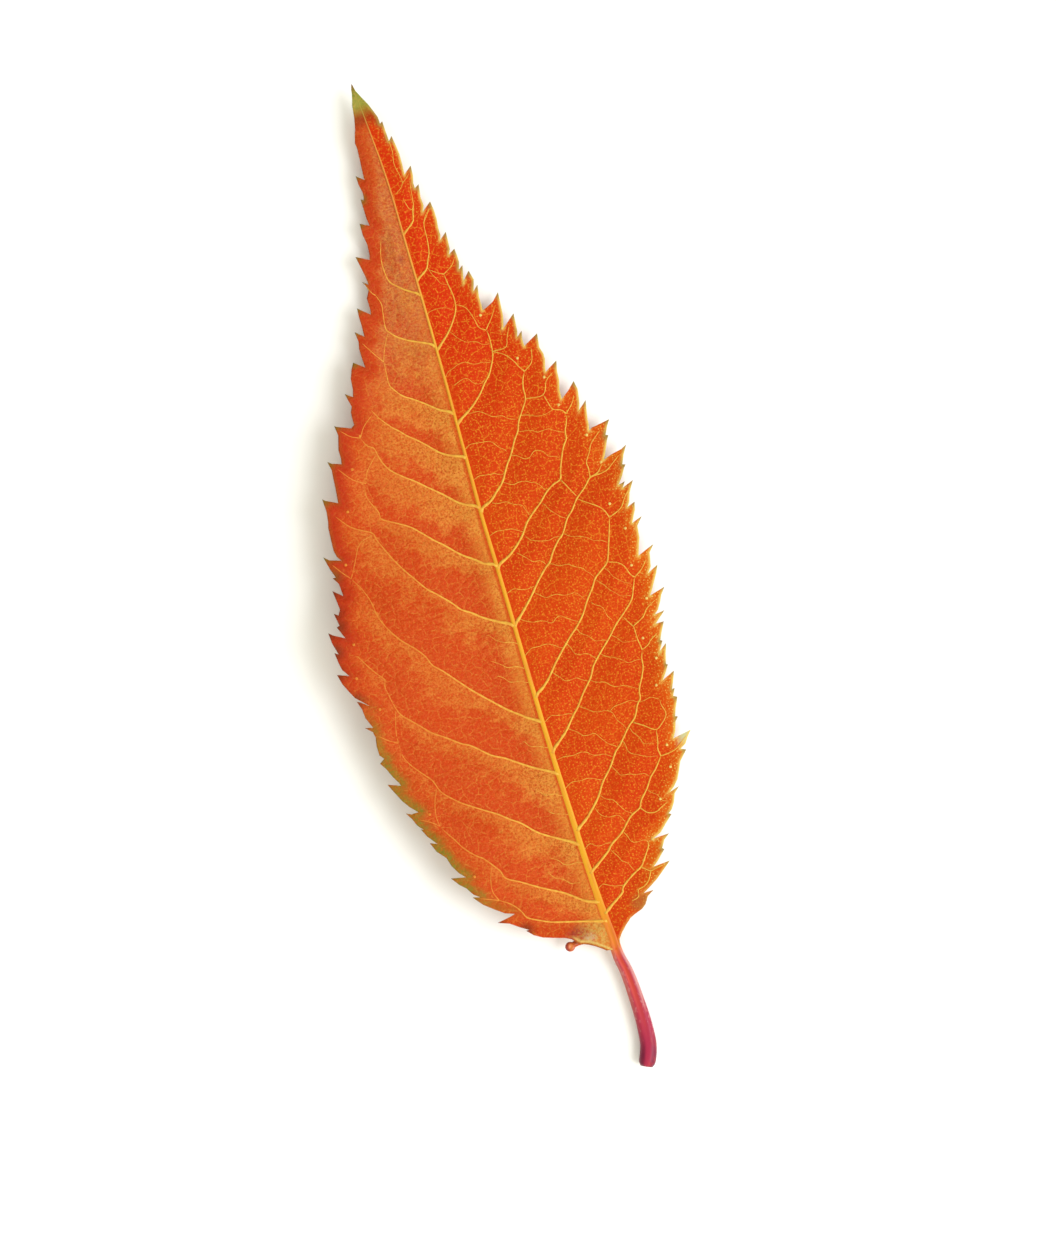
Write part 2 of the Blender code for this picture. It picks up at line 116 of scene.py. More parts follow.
# Corners of both margins from the base to the tip, tooth by tooth, in the drawing's millimetres.
RIGHT_MARGIN = (
    (0.75, 0.1), (0.95, 0.9), (1.35, 1.45), (2.0, 2.1), (2.6, 2.6), (3.0, 2.8), (4.0, 3.15), (4.45, 3.5),
    (4.9, 4.2), (5.62, 4.62), (4.6, 4.6), (5.5, 5.1), (6.3, 5.6), (7.2, 6.3), (8.05, 6.97), (6.3, 6.83),
    (6.9, 7.3), (7.4, 7.8), (7.83, 8.2), (7.65, 8.35), (8.1, 9.1), (8.74, 9.58), (7.05, 9.5),
    (7.95, 9.9), (8.7, 10.6), (9.53, 11.33), (9.3, 11.5), (9.7, 11.8), (10.1, 12.4), (10.45, 13.25),
    (11.05, 13.8), (9.98, 13.5), (10.5, 13.85), (11.1, 14.5), (11.5, 15.3), (11.9, 16.15), (12.8, 17.1),
    (12.3, 17.35), (12.9, 17.7), (13.3, 18.3), (13.8, 18.86), (11.9, 18.53), (12.3, 19.2), (12.6, 20.1),
    (12.94, 20.5), (12.7, 20.6), (13.0, 21.4), (13.47, 22.4), (13.1, 22.6), (13.47, 23.3), (13.2, 23.3),
    (13.5, 23.95), (13.92, 25.0), (12.58, 24.4), (13.1, 25.1), (13.5, 25.76), (13.35, 25.85),
    (13.6, 26.8), (13.97, 27.88), (13.12, 27.1), (13.4, 27.7), (13.67, 28.18), (13.5, 28.3),
    (13.8, 28.95), (14.38, 30.0), (13.55, 30.0), (14.0, 30.4), (14.76, 31.03), (13.7, 30.9),
    (14.15, 31.1), (14.6, 32.0), (14.9, 32.6), (15.44, 33.29), (13.8, 32.85), (14.15, 33.35),
    (14.6, 34.1), (15.05, 34.85), (15.4, 35.6), (14.3, 35.08), (14.7, 35.6), (14.9, 36.5), (15.0, 37.0),
    (15.64, 37.7), (13.85, 37.0), (14.15, 37.9), (14.45, 38.7), (14.6, 39.9), (15.29, 40.68),
    (14.2, 40.3), (14.45, 40.8), (14.83, 41.5), (15.03, 42.27), (14.2, 41.97), (14.5, 42.4),
    (14.83, 43.3), (15.5, 44.4), (14.3, 43.94), (14.68, 44.5), (14.0, 44.35), (14.6, 45.1), (15.0, 45.8),
    (15.26, 46.1), (14.95, 46.2), (15.35, 47.1), (15.9, 48.0), (15.3, 47.7), (14.3, 47.5), (13.3, 47.2),
    (13.5, 47.5), (13.85, 48.2), (14.15, 48.9), (14.45, 49.4), (14.2, 49.5), (14.6, 50.3), (15.0, 50.9),
    (14.15, 50.76), (13.1, 50.6), (12.75, 50.4), (12.9, 51.0), (12.95, 51.6), (13.15, 52.7),
    (13.3, 53.4), (12.4, 52.65), (12.6, 53.2), (12.75, 54.0), (12.86, 54.7), (12.7, 55.56),
    (12.4, 55.08), (11.88, 54.8), (11.05, 54.2), (11.1, 55.1), (11.35, 56.1), (11.4, 57.0),
    (11.65, 58.03), (10.3, 57.27), (10.4, 57.8), (10.6, 58.5), (10.6, 59.1), (10.4, 59.8), (10.6, 61.2),
    (9.0, 60.35), (9.0, 61.06), (9.2, 61.9), (8.6, 61.44), (8.77, 62.0), (8.85, 62.9), (8.92, 63.8),
    (7.5, 62.65), (7.65, 63.1), (7.86, 63.9), (7.94, 64.85), (8.05, 66.3), (7.8, 65.8), (7.3, 65.5),
    (6.6, 65.2), (6.05, 65.0), (6.1, 65.5), (6.1, 66.4), (6.3, 67.6), (5.75, 67.1), (6.1, 68.2),
    (5.86, 69.2), (5.1, 68.2), (5.2, 68.9), (5.44, 69.9), (4.98, 69.6), (5.2, 70.3), (5.2, 70.9),
    (5.14, 71.7), (4.45, 71.3), (4.7, 71.8), (4.76, 72.7), (4.8, 73.56), (4.05, 72.95), (4.2, 73.4),
    (4.2, 74.2), (4.3, 75.0), (4.3, 75.9), (4.18, 76.9), (3.2, 76.15), (3.45, 76.7), (3.4, 77.6),
    (3.5, 78.3), (3.58, 78.86), (3.12, 78.6), (3.1, 79.1), (3.3, 79.9), (3.36, 80.86), (2.53, 80.2),
    (2.6, 81.4), (2.62, 82.3), (2.53, 83.2), (2.38, 84.2), (2.0, 83.8), (1.95, 85.0), (1.92, 85.86),
    (1.65, 85.7), (1.62, 86.4), (1.4, 87.0), (1.1, 87.8), (0.64, 88.7), (0.26, 89.5), (0.04, 90.2),
)
LEFT_MARGIN = (
    (-0.35, 0.0), (-0.6, 0.18), (-1.0, 0.52), (-1.5, 0.9), (-2.0, 1.2), (-2.5, 1.43), (-3.05, 1.58),
    (-3.5, 2.15), (-3.62, 2.3), (-4.2, 2.62), (-5.1, 2.92), (-6.3, 3.36), (-7.1, 3.86), (-7.7, 4.5),
    (-7.4, 4.5), (-8.15, 5.0), (-9.06, 5.7), (-10.17, 6.14), (-8.9, 6.3), (-8.3, 6.44), (-9.2, 6.8),
    (-10.1, 7.5), (-11.03, 8.3), (-11.8, 9.3), (-11.1, 9.1), (-11.64, 9.55), (-12.1, 10.3), (-12.7, 10.9),
    (-13.3, 11.74), (-11.85, 11.4), (-12.4, 12.0), (-12.9, 12.9), (-13.15, 13.8), (-13.9, 14.7),
    (-14.3, 15.7), (-13.6, 15.3), (-14.36, 16.4), (-14.75, 17.25), (-14.5, 17.1), (-14.97, 17.7),
    (-15.3, 18.5), (-15.72, 19.2), (-15.2, 18.9), (-14.5, 18.95), (-15.2, 19.7), (-15.7, 20.45),
    (-16.2, 21.5), (-16.64, 22.45), (-15.4, 21.97), (-15.5, 22.3), (-15.9, 23.0), (-16.3, 23.94),
    (-16.73, 24.65), (-16.2, 25.0), (-16.56, 25.45), (-16.56, 26.4), (-16.4, 27.3), (-16.5, 27.85),
    (-17.14, 28.47), (-16.35, 28.25), (-16.8, 29.4), (-16.86, 30.3), (-17.14, 31.2), (-16.86, 31.06),
    (-16.0, 30.35), (-16.6, 31.0), (-17.2, 31.6), (-17.6, 32.4), (-18.0, 33.3), (-18.23, 34.3),
    (-17.1, 33.86), (-17.6, 34.6), (-17.75, 35.4), (-17.85, 36.45), (-17.5, 36.2), (-17.8, 37.4),
    (-17.87, 38.5), (-17.4, 38.05), (-16.4, 37.55), (-16.7, 38.3), (-16.9, 38.8), (-16.6, 38.9),
    (-16.8, 40.2), (-16.4, 39.9), (-16.1, 40.45), (-16.2, 41.5), (-16.3, 42.4), (-15.4, 41.5),
    (-15.5, 42.9), (-15.9, 43.6), (-15.6, 43.6), (-15.9, 44.5), (-16.2, 45.85), (-15.7, 45.4),
    (-14.6, 45.05), (-14.9, 45.5), (-15.05, 46.2), (-14.97, 47.4), (-14.9, 48.5), (-14.74, 49.1),
    (-14.6, 50.15), (-14.64, 51.4), (-14.4, 51.0), (-13.25, 50.6), (-13.2, 50.95), (-13.08, 52.0),
    (-13.0, 53.0), (-12.9, 53.9), (-13.08, 54.8), (-12.7, 54.5), (-11.8, 54.2), (-11.7, 54.7),
    (-11.7, 55.6), (-11.5, 56.3), (-11.3, 57.0), (-11.4, 58.03), (-11.26, 57.7), (-9.85, 57.35),
    (-9.5, 57.6), (-9.5, 58.2), (-9.44, 58.9), (-9.2, 59.4), (-9.3, 59.85), (-9.5, 60.8), (-8.8, 60.3),
    (-8.6, 61.06), (-8.5, 62.1), (-8.15, 63.0), (-7.8, 63.6), (-6.8, 62.8), (-6.86, 63.8), (-6.86, 64.7),
    (-6.7, 65.45), (-6.8, 66.5), (-6.0, 65.8), (-5.95, 66.97), (-5.95, 67.9), (-5.88, 68.7),
    (-4.75, 67.75), (-4.67, 68.2), (-4.67, 69.4), (-4.2, 70.3), (-4.66, 71.1), (-4.1, 70.7),
    (-4.2, 71.7), (-4.36, 72.6), (-4.55, 73.67), (-3.3, 73.05), (-3.15, 73.5), (-3.08, 74.6),
    (-3.23, 75.6), (-3.2, 76.75), (-2.3, 76.3), (-2.4, 77.0), (-2.4, 78.06), (-2.4, 79.05), (-2.1, 78.9),
    (-2.0, 79.6), (-2.17, 80.5), (-2.2, 81.4), (-1.48, 80.8), (-1.4, 82.15), (-1.33, 82.9), (-1.26, 84.0),
    (-1.33, 84.5), (-1.1, 85.33), (-0.9, 85.86), (-0.65, 87.0), (-0.5, 88.2), (-0.2, 89.27), (0.02, 90.2),
)
# Middle line of the stalk and midrib from the scar to the tip: x, y, half-width of what shows from above.
SPINE = (
    (-0.16, -12.1, 0.86), (0.35, -11.0, 0.85), (0.66, -10.0, 0.83), (0.79, -9.0, 0.81), (0.85, -8.0, 0.79),
    (0.87, -7.0, 0.77), (0.86, -6.0, 0.75), (0.83, -5.0, 0.73), (0.8, -4.0, 0.71), (0.73, -3.0, 0.69),
    (0.62, -2.0, 0.65), (0.42, -1.0, 0.62), (0.33, 0.0, 0.57), (0.3, 1.5, 0.5), (0.2, 3.0, 0.46),
    (0.1, 5.0, 0.41), (-0.05, 10.0, 0.35), (-0.1, 15.0, 0.31), (-0.15, 20.0, 0.28), (-0.15, 25.0, 0.255),
    (-0.1, 30.0, 0.235), (-0.05, 34.0, 0.22), (0.0, 40.0, 0.205), (0.0, 45.0, 0.195), (0.15, 50.0, 0.18),
    (0.3, 55.0, 0.155), (0.4, 58.0, 0.145), (0.45, 60.0, 0.14), (0.55, 65.0, 0.13), (0.6, 70.0, 0.115),
    (0.65, 75.0, 0.1), (0.7, 78.0, 0.092), (0.68, 80.0, 0.086), (0.62, 82.0, 0.08), (0.5, 84.0, 0.074),
    (0.38, 86.0, 0.068), (0.25, 88.0, 0.06), (0.1, 89.4, 0.05),
)
# Secondary veins: the main course of each, then its forks and loops as thinner lines.
MAIN_VEINS = (
    ((0.3, 3.75), (0.75, 4.05), (1.27, 4.4), (2.56, 5.23), (2.8, 5.76), (4.0, 6.6), (5.06, 7.15),
     (5.5, 7.65), (6.05, 8.4), (6.4, 8.94), (6.5, 9.4)),
    ((0.05, 8.0), (0.5, 8.3), (1.27, 8.8), (2.4, 9.6), (2.94, 10.15), (4.2, 10.95), (5.06, 11.8),
     (5.67, 12.35), (6.7, 12.85), (7.03, 13.5), (7.94, 14.5), (8.6, 15.45), (9.3, 16.1), (10.2, 17.2)),
    ((0.0, 12.45), (0.4, 12.75), (1.1, 13.2), (1.95, 13.94), (3.1, 15.15), (3.85, 16.3), (5.06, 17.6),
     (5.97, 18.86), (6.65, 19.45), (7.94, 20.9), (8.85, 21.67), (9.45, 22.8), (9.9, 23.3), (10.06, 24.2),
     (10.67, 25.3), (11.1, 26.3), (11.2, 27.1), (11.5, 27.9)),
    ((-0.1, 20.6), (0.3, 21.05), (1.1, 21.67), (1.95, 22.4), (3.0, 23.6), (3.7, 24.3), (4.6, 25.45),
     (5.74, 26.7), (6.4, 27.8), (7.6, 29.0), (8.7, 30.0), (9.76, 31.1), (10.97, 32.1), (11.95, 33.03),
     (12.4, 34.0), (12.86, 35.08)),
    ((-0.1, 26.4), (0.3, 26.8), (0.97, 27.2), (1.8, 27.95), (2.8, 29.1), (4.0, 30.3), (5.06, 31.3),
     (5.97, 32.05), (6.88, 33.03), (7.64, 34.17), (8.55, 35.3), (9.08, 36.1), (9.9, 36.7), (10.67, 37.3),
     (11.1, 38.3), (11.3, 38.9), (11.8, 40.3), (12.18, 41.5)),
    ((-0.05, 33.8), (0.3, 34.2), (1.1, 34.9), (2.5, 36.3), (3.55, 37.5), (4.7, 38.6), (5.2, 38.96),
     (5.8, 39.85), (6.6, 40.76), (7.26, 41.3), (8.1, 42.6), (8.85, 43.3), (9.6, 44.24), (10.67, 45.08),
     (11.5, 45.9), (12.3, 46.1), (13.0, 46.8)),
    ((0.0, 39.8), (0.4, 40.25), (1.73, 40.9), (3.24, 42.2), (4.15, 43.4), (5.06, 44.2), (6.05, 44.95),
     (6.95, 45.8), (7.8, 46.3), (8.6, 46.6), (8.9, 47.5), (9.4, 48.7), (9.9, 49.7), (10.36, 50.3),
     (10.44, 51.0), (10.8, 51.8), (11.08, 52.5)),
    ((0.05, 45.75), (0.4, 46.15), (1.35, 46.55), (2.2, 47.3), (3.0, 48.03), (3.85, 49.4), (4.6, 50.4),
     (5.36, 51.67), (5.97, 52.5), (6.27, 53.3), (7.03, 54.4), (7.6, 55.3), (7.7, 56.4), (7.94, 57.3),
     (8.3, 57.95)),
    ((0.3, 54.8), (0.8, 55.2), (2.2, 56.06), (3.4, 57.1), (4.1, 57.95), (4.76, 58.6), (5.2, 59.3),
     (5.74, 60.45), (5.9, 61.8), (5.9, 62.7), (5.8, 63.03)),
    ((0.5, 62.5), (0.95, 62.85), (2.03, 63.8), (2.94, 64.9), (3.55, 66.0), (3.67, 67.3), (3.5, 68.5),
     (3.4, 69.6)),
    ((0.6, 69.7), (1.0, 70.0), (1.9, 70.6), (2.26, 71.4), (2.6, 72.1), (2.8, 73.3), (2.86, 74.4),
     (2.94, 75.08)),
    ((0.65, 74.5), (1.05, 74.8), (1.95, 75.5), (2.1, 75.9), (2.26, 76.6), (2.6, 77.3)),
    ((0.3, 3.0), (-0.2, 3.1), (-1.2, 3.4), (-2.85, 3.86), (-3.9, 4.17), (-5.1, 4.55), (-6.03, 5.0),
     (-7.24, 5.7), (-7.55, 6.36), (-8.0, 7.05), (-8.6, 7.65), (-9.4, 8.2)),
    ((0.1, 4.95), (-0.3, 5.15), (-1.2, 5.5), (-1.94, 6.06), (-3.15, 6.97), (-4.97, 8.03), (-6.8, 9.24),
     (-8.15, 10.08), (-8.45, 10.9), (-9.06, 11.8), (-9.67, 12.6), (-10.4, 13.2), (-11.3, 14.24),
     (-11.9, 15.3), (-12.4, 16.06), (-12.9, 16.97)),
    ((-0.1, 11.0), (-0.4, 11.2), (-1.03, 11.67), (-1.94, 12.2), (-3.76, 13.4), (-5.1, 14.8), (-6.03, 15.5),
     (-7.1, 16.4), (-8.15, 17.1), (-9.5, 18.03), (-10.4, 18.7), (-11.56, 19.85), (-11.94, 20.45),
     (-12.3, 21.5), (-13.0, 22.4), (-13.9, 23.6), (-14.4, 24.7), (-14.44, 26.06)),
    ((-0.1, 18.35), (-0.45, 18.65), (-1.03, 19.0), (-2.1, 19.6), (-3.3, 20.4), (-4.8, 21.5), (-6.03, 22.2),
     (-7.55, 23.6), (-8.6, 24.24), (-9.8, 25.2), (-11.03, 26.1), (-11.94, 27.1), (-12.8, 28.03),
     (-13.4, 28.7), (-13.76, 29.7), (-13.98, 30.9), (-14.1, 31.8), (-13.9, 32.5), (-14.5, 33.3),
     (-15.2, 34.4), (-15.6, 35.15), (-16.03, 35.76)),
    ((-0.1, 23.8), (-0.5, 24.1), (-1.33, 24.6), (-1.94, 25.08), (-3.15, 26.06), (-4.4, 27.3), (-5.27, 28.2),
     (-6.2, 29.2), (-7.1, 30.3), (-8.15, 31.6), (-9.0, 32.5), (-9.4, 33.5), (-10.1, 34.5), (-11.2, 35.7),
     (-11.94, 36.8), (-12.4, 37.7), (-12.8, 38.8), (-12.9, 39.85), (-13.15, 40.9), (-13.6, 41.97),
     (-14.2, 43.03)),
    ((-0.1, 33.9), (-0.5, 34.25), (-1.2, 34.6), (-2.7, 35.5), (-3.76, 36.36), (-4.67, 36.97), (-5.4, 37.9),
     (-6.5, 39.1), (-7.4, 40.0), (-8.3, 41.36), (-8.98, 42.4), (-9.74, 43.8), (-10.27, 45.0),
     (-10.7, 46.06), (-10.9, 46.8), (-12.1, 47.5), (-13.0, 48.2), (-13.9, 49.4)),
    ((0.05, 40.1), (-0.3, 40.4), (-1.2, 40.76), (-1.94, 41.4), (-3.15, 42.3), (-4.4, 43.6), (-5.27, 44.4),
     (-6.2, 45.4), (-7.1, 46.3), (-8.15, 46.97), (-9.06, 47.5), (-9.7, 47.95), (-9.7, 48.6), (-10.1, 49.5),
     (-10.4, 50.3), (-10.4, 51.06), (-10.1, 51.7)),
    ((0.05, 46.2), (-0.3, 46.5), (-1.2, 46.9), (-1.94, 47.4), (-3.15, 48.6), (-4.4, 49.7), (-5.27, 50.5),
     (-6.3, 51.3), (-7.4, 52.3), (-7.9, 53.2), (-8.15, 54.1), (-8.3, 54.85), (-8.9, 55.3), (-9.3, 56.2)),
    ((0.2, 51.4), (-0.2, 51.65), (-1.33, 52.1), (-2.24, 52.7), (-3.0, 53.5), (-3.9, 54.4), (-4.8, 55.15),
     (-5.4, 55.8), (-6.03, 56.4), (-6.9, 57.5), (-7.5, 58.6)),
    ((0.35, 55.9), (-0.1, 56.3), (-1.03, 56.8), (-2.1, 57.7), (-3.15, 58.5), (-4.06, 59.1), (-4.67, 59.85),
     (-5.05, 60.6), (-4.97, 61.8), (-4.9, 62.9)),
    ((0.5, 62.9), (0.1, 63.3), (-0.9, 63.8), (-1.94, 64.3), (-2.85, 64.9), (-3.4, 65.45), (-3.76, 66.06),
     (-3.6, 67.4), (-3.45, 68.5), (-3.76, 69.5)),
    ((0.6, 68.2), (0.2, 68.6), (-0.6, 69.1), (-1.5, 69.85), (-2.1, 70.6), (-2.24, 72.1), (-2.1, 73.2),
     (-1.64, 74.7)),
)
FORKS = (
    ((5.06, 7.15), (5.67, 6.67), (5.9, 6.5), (6.4, 6.6), (7.3, 6.75)),
    ((5.9, 6.5), (5.67, 6.06), (5.36, 5.6), (4.76, 5.2), (4.15, 5.08), (4.0, 4.4), (3.2, 4.17)),
    ((6.7, 12.85), (7.33, 12.15), (8.17, 12.0), (8.7, 12.27), (9.6, 12.65)),
    ((10.2, 17.2), (11.35, 17.3), (12.2, 17.65), (13.2, 18.45)),
    ((10.2, 17.2), (10.1, 18.0), (10.3, 18.6), (10.5, 19.8)),
    ((8.55, 21.2), (9.45, 20.6), (10.4, 19.9), (11.05, 20.15), (11.9, 21.06), (11.7, 22.1), (11.7, 22.65)),
    ((11.5, 27.9), (12.2, 28.2), (12.6, 28.6), (13.5, 29.1)),
    ((11.5, 27.9), (11.35, 29.1), (11.35, 30.3), (11.27, 30.45), (10.6, 31.6)),
    ((11.27, 30.4), (12.5, 31.0), (13.1, 31.7), (14.15, 32.3)),
    ((12.86, 35.08), (13.7, 35.6), (14.45, 36.4)),
    ((12.86, 35.08), (12.5, 35.5), (12.2, 36.4), (11.6, 36.97), (10.67, 37.3)),
    ((12.18, 41.5), (13.5, 42.05), (14.15, 42.9), (14.76, 43.6)),
    ((12.18, 41.5), (11.9, 42.3), (11.4, 42.9), (10.5, 43.56), (9.6, 44.24)),
    ((11.5, 45.9), (13.17, 46.06), (14.15, 46.67), (14.9, 47.2)),
    ((11.5, 45.9), (11.6, 46.8), (11.6, 47.5), (12.2, 48.4), (12.56, 49.1), (13.77, 50.1)),
    ((8.65, 46.5), (9.15, 45.5), (9.65, 44.5)),
    ((11.05, 52.7), (11.9, 53.5), (12.3, 54.2)),
    ((11.05, 52.7), (10.67, 53.2), (9.9, 53.5), (9.6, 54.4), (9.4, 55.15)),
    ((7.6, 55.3), (9.4, 55.15), (10.1, 56.4), (10.97, 57.0)),
    ((8.3, 57.95), (9.15, 58.5), (9.45, 59.2), (9.6, 60.0)),
    ((8.3, 57.95), (7.8, 58.7), (7.7, 59.0), (6.9, 60.1), (5.8, 60.8)),
    ((5.85, 60.8), (7.2, 60.8), (7.6, 61.67), (8.1, 62.7)),
    ((5.8, 63.03), (6.6, 63.94), (7.26, 64.85)),
    ((5.8, 63.03), (5.2, 63.5), (4.98, 64.5), (4.5, 65.76), (3.6, 66.4)),
    ((3.4, 69.6), (4.4, 70.2), (4.9, 70.9)),
    ((3.4, 69.6), (2.8, 69.9), (2.1, 70.45)),
    ((2.94, 75.08), (3.55, 75.8), (3.9, 76.3)),
    ((1.98, 83.82), (2.02, 82.69), (1.82, 81.42), (2.08, 79.45), (1.05, 78.52)),
    ((2.08, 79.45), (2.6, 79.8), (3.0, 80.2)),
    ((2.83, 79.39), (2.71, 78.69), (2.44, 76.86), (1.91, 75.41), (1.07, 74.81)),
    ((2.44, 76.86), (2.02, 76.71), (1.64, 77.97)),
    ((2.9, 74.93), (3.34, 75.73), (3.96, 76.22)),
    ((-12.9, 16.97), (-13.6, 17.6), (-14.6, 18.2)),
    ((-12.9, 16.97), (-12.95, 18.0), (-12.7, 19.3), (-12.1, 20.7)),
    ((-14.44, 26.06), (-15.3, 26.6), (-16.2, 27.4)),
    ((-14.44, 26.06), (-14.3, 27.3), (-13.76, 29.3)),
    ((-9.4, 8.2), (-10.3, 8.6), (-11.2, 9.0)),
    ((-9.4, 8.2), (-9.75, 9.2), (-9.6, 10.4), (-9.1, 11.75)),
    ((-14.2, 43.03), (-14.9, 43.9), (-15.6, 44.9)),
    ((-14.2, 43.03), (-13.4, 44.4), (-12.4, 46.1), (-11.0, 46.6)),
    ((-10.1, 51.7), (-9.6, 52.8), (-8.3, 54.2)),
    ((-10.1, 51.7), (-11.2, 52.4), (-12.3, 53.8)),
    ((-9.3, 56.2), (-10.2, 56.6), (-11.0, 57.4)),
    ((-9.3, 56.2), (-8.6, 57.2), (-7.5, 58.1)),
    ((-4.9, 62.9), (-5.6, 63.9), (-6.4, 65.2)),
    ((-4.9, 62.9), (-4.4, 64.2), (-3.7, 65.5)),
    ((-3.76, 69.5), (-4.1, 69.9), (-4.4, 70.7)),
)
CROSS_VEINS = (
    ((3.0, 48.0), (4.0, 47.5), (5.5, 47.3), (6.1, 47.1), (6.4, 46.6), (6.95, 45.9)),
    ((4.6, 50.3), (5.5, 49.9), (6.1, 49.6), (7.2, 49.95), (7.8, 49.7), (8.3, 49.1), (9.3, 48.6)),
    ((6.0, 52.4), (7.6, 51.9), (8.5, 51.8), (10.3, 51.0)),
    ((6.6, 53.8), (8.0, 53.5), (8.9, 53.1), (9.9, 53.5)),
    ((1.6, 55.6), (2.9, 55.3), (4.2, 54.5), (6.2, 53.6)),
    ((0.3, 52.2), (1.6, 52.6), (3.4, 51.8), (4.3, 50.8)),
    ((0.2, 49.0), (1.6, 49.3), (3.0, 48.7), (3.5, 48.9)),
    ((1.4, 46.3), (2.6, 45.9), (4.1, 45.3), (4.6, 44.0)),
    ((0.2, 43.2), (1.7, 43.5), (3.0, 42.9), (3.6, 42.6)),
    ((6.2, 44.8), (6.9, 43.7), (8.1, 42.6)),
    ((7.3, 41.3), (8.3, 40.7), (10.2, 39.8), (11.2, 39.2)),
    ((5.2, 38.8), (6.3, 38.3), (8.0, 37.6), (8.5, 36.9), (9.05, 36.2)),
    ((3.6, 42.2), (4.4, 41.3), (6.2, 41.2), (6.9, 41.1)),
    ((2.3, 40.8), (3.2, 39.9), (4.3, 39.3), (4.8, 38.8)),
    ((2.9, 36.4), (4.0, 35.7), (6.6, 35.3), (7.5, 34.3)),
    ((0.2, 37.2), (1.3, 37.4), (2.4, 37.0), (3.2, 37.1)),
    ((0.6, 34.4), (1.5, 33.9), (3.6, 33.2), (4.4, 33.5), (6.3, 32.4)),
    ((8.0, 33.9), (8.9, 32.9), (9.5, 31.5)),
    ((9.1, 35.9), (10.0, 34.9), (10.4, 34.1), (12.0, 33.4)),
    ((0.1, 30.7), (1.2, 31.3), (2.3, 31.2), (3.6, 30.6), (4.1, 30.3)),
    ((4.4, 30.7), (5.0, 29.6), (6.2, 29.0), (6.9, 28.3)),
    ((2.2, 28.4), (3.0, 27.4), (4.3, 27.0), (5.4, 26.5)),
    ((7.3, 28.8), (8.4, 28.0), (9.8, 27.2), (11.1, 27.0)),
    ((8.9, 30.2), (9.8, 29.4), (10.8, 28.9), (11.4, 29.0)),
    ((5.6, 26.5), (7.0, 25.7), (9.0, 24.8), (10.0, 24.3)),
    ((3.8, 24.3), (5.0, 23.4), (6.2, 23.2), (7.0, 22.2), (7.7, 20.8)),
    ((6.6, 22.9), (7.6, 23.4), (8.6, 23.4), (9.6, 23.0)),
    ((9.7, 23.0), (10.6, 23.1), (11.7, 22.7)),
    ((2.1, 22.5), (3.2, 21.6), (4.6, 21.1), (5.3, 20.2), (6.3, 19.3)),
    ((-0.1, 23.7), (1.2, 24.2), (2.4, 23.9), (3.1, 23.7)),
    ((0.1, 19.8), (1.9, 19.9), (3.4, 19.5), (4.9, 18.9), (5.6, 18.5)),
    ((-0.1, 16.7), (1.3, 17.3), (2.8, 17.0), (4.0, 16.6)),
    ((8.0, 20.8), (8.8, 19.2), (9.9, 18.6)),
    ((7.0, 19.7), (7.4, 18.4), (8.0, 17.9), (9.9, 17.3)),
    ((5.2, 17.6), (6.0, 16.4), (7.7, 16.2), (8.6, 15.5)),
    ((3.2, 15.2), (4.6, 14.0), (5.0, 13.3), (5.8, 12.5)),
    ((2.3, 14.2), (2.9, 13.2), (4.4, 12.6), (4.9, 11.9)),
    ((0.0, 10.2), (0.9, 10.8), (1.9, 10.4), (3.0, 10.3)),
    ((2.6, 9.8), (3.4, 8.5), (4.4, 7.0)),
    ((4.4, 11.1), (4.9, 10.0), (6.5, 9.5)),
    ((0.2, 6.2), (1.2, 6.6), (2.2, 6.0), (3.0, 5.9)),
    ((7.9, 14.4), (8.6, 13.6), (8.9, 13.1), (9.7, 12.7)),
    ((5.7, 32.0), (6.3, 31.0), (7.4, 30.2), (8.4, 29.8)),
    ((10.2, 36.9), (10.9, 35.7), (12.4, 34.4)),
    ((1.2, 58.7), (2.2, 59.0), (3.4, 58.2), (4.3, 58.3)),
    ((0.5, 59.6), (1.4, 60.4), (3.0, 60.4), (5.3, 59.8)),
    ((2.2, 64.0), (3.2, 62.8), (4.6, 62.0), (5.8, 61.6)),
    ((0.6, 66.2), (1.7, 66.6), (3.2, 65.9)),
    ((2.0, 70.7), (2.6, 69.2), (3.5, 68.4)),
    ((-1.2, 7.4), (-2.4, 7.9), (-3.4, 8.6), (-4.0, 9.4)),
    ((-0.1, 9.2), (-1.3, 9.4), (-2.4, 9.9), (-3.4, 10.7)),
    ((-0.15, 14.2), (-1.2, 14.5), (-2.2, 15.2)),
    ((-0.2, 16.2), (-1.4, 16.6), (-2.8, 17.5)),
    ((-0.2, 21.2), (-1.4, 21.6), (-2.6, 22.6)),
    ((-0.2, 28.0), (-1.6, 28.5), (-3.2, 29.6)),
    ((-0.2, 29.5), (-1.7, 30.1), (-3.4, 31.2)),
    ((-0.1, 32.0), (-1.6, 32.7), (-3.0, 33.8)),
)

# Marks that the blade has once each.
PALE_TOOTH = (13.5, 18.55)
BROWNED_TOOTH = (4.2, 3.75)
CRIMSON_SPOT = (-3.0, 2.6)
SCUFF = (-0.3, 72.2)
# Middle of the painted sheen at the left base.
SHEEN_SPOT = (-1.8, 1.9)
GOLD_SPOT = (-1.5, 1.9)
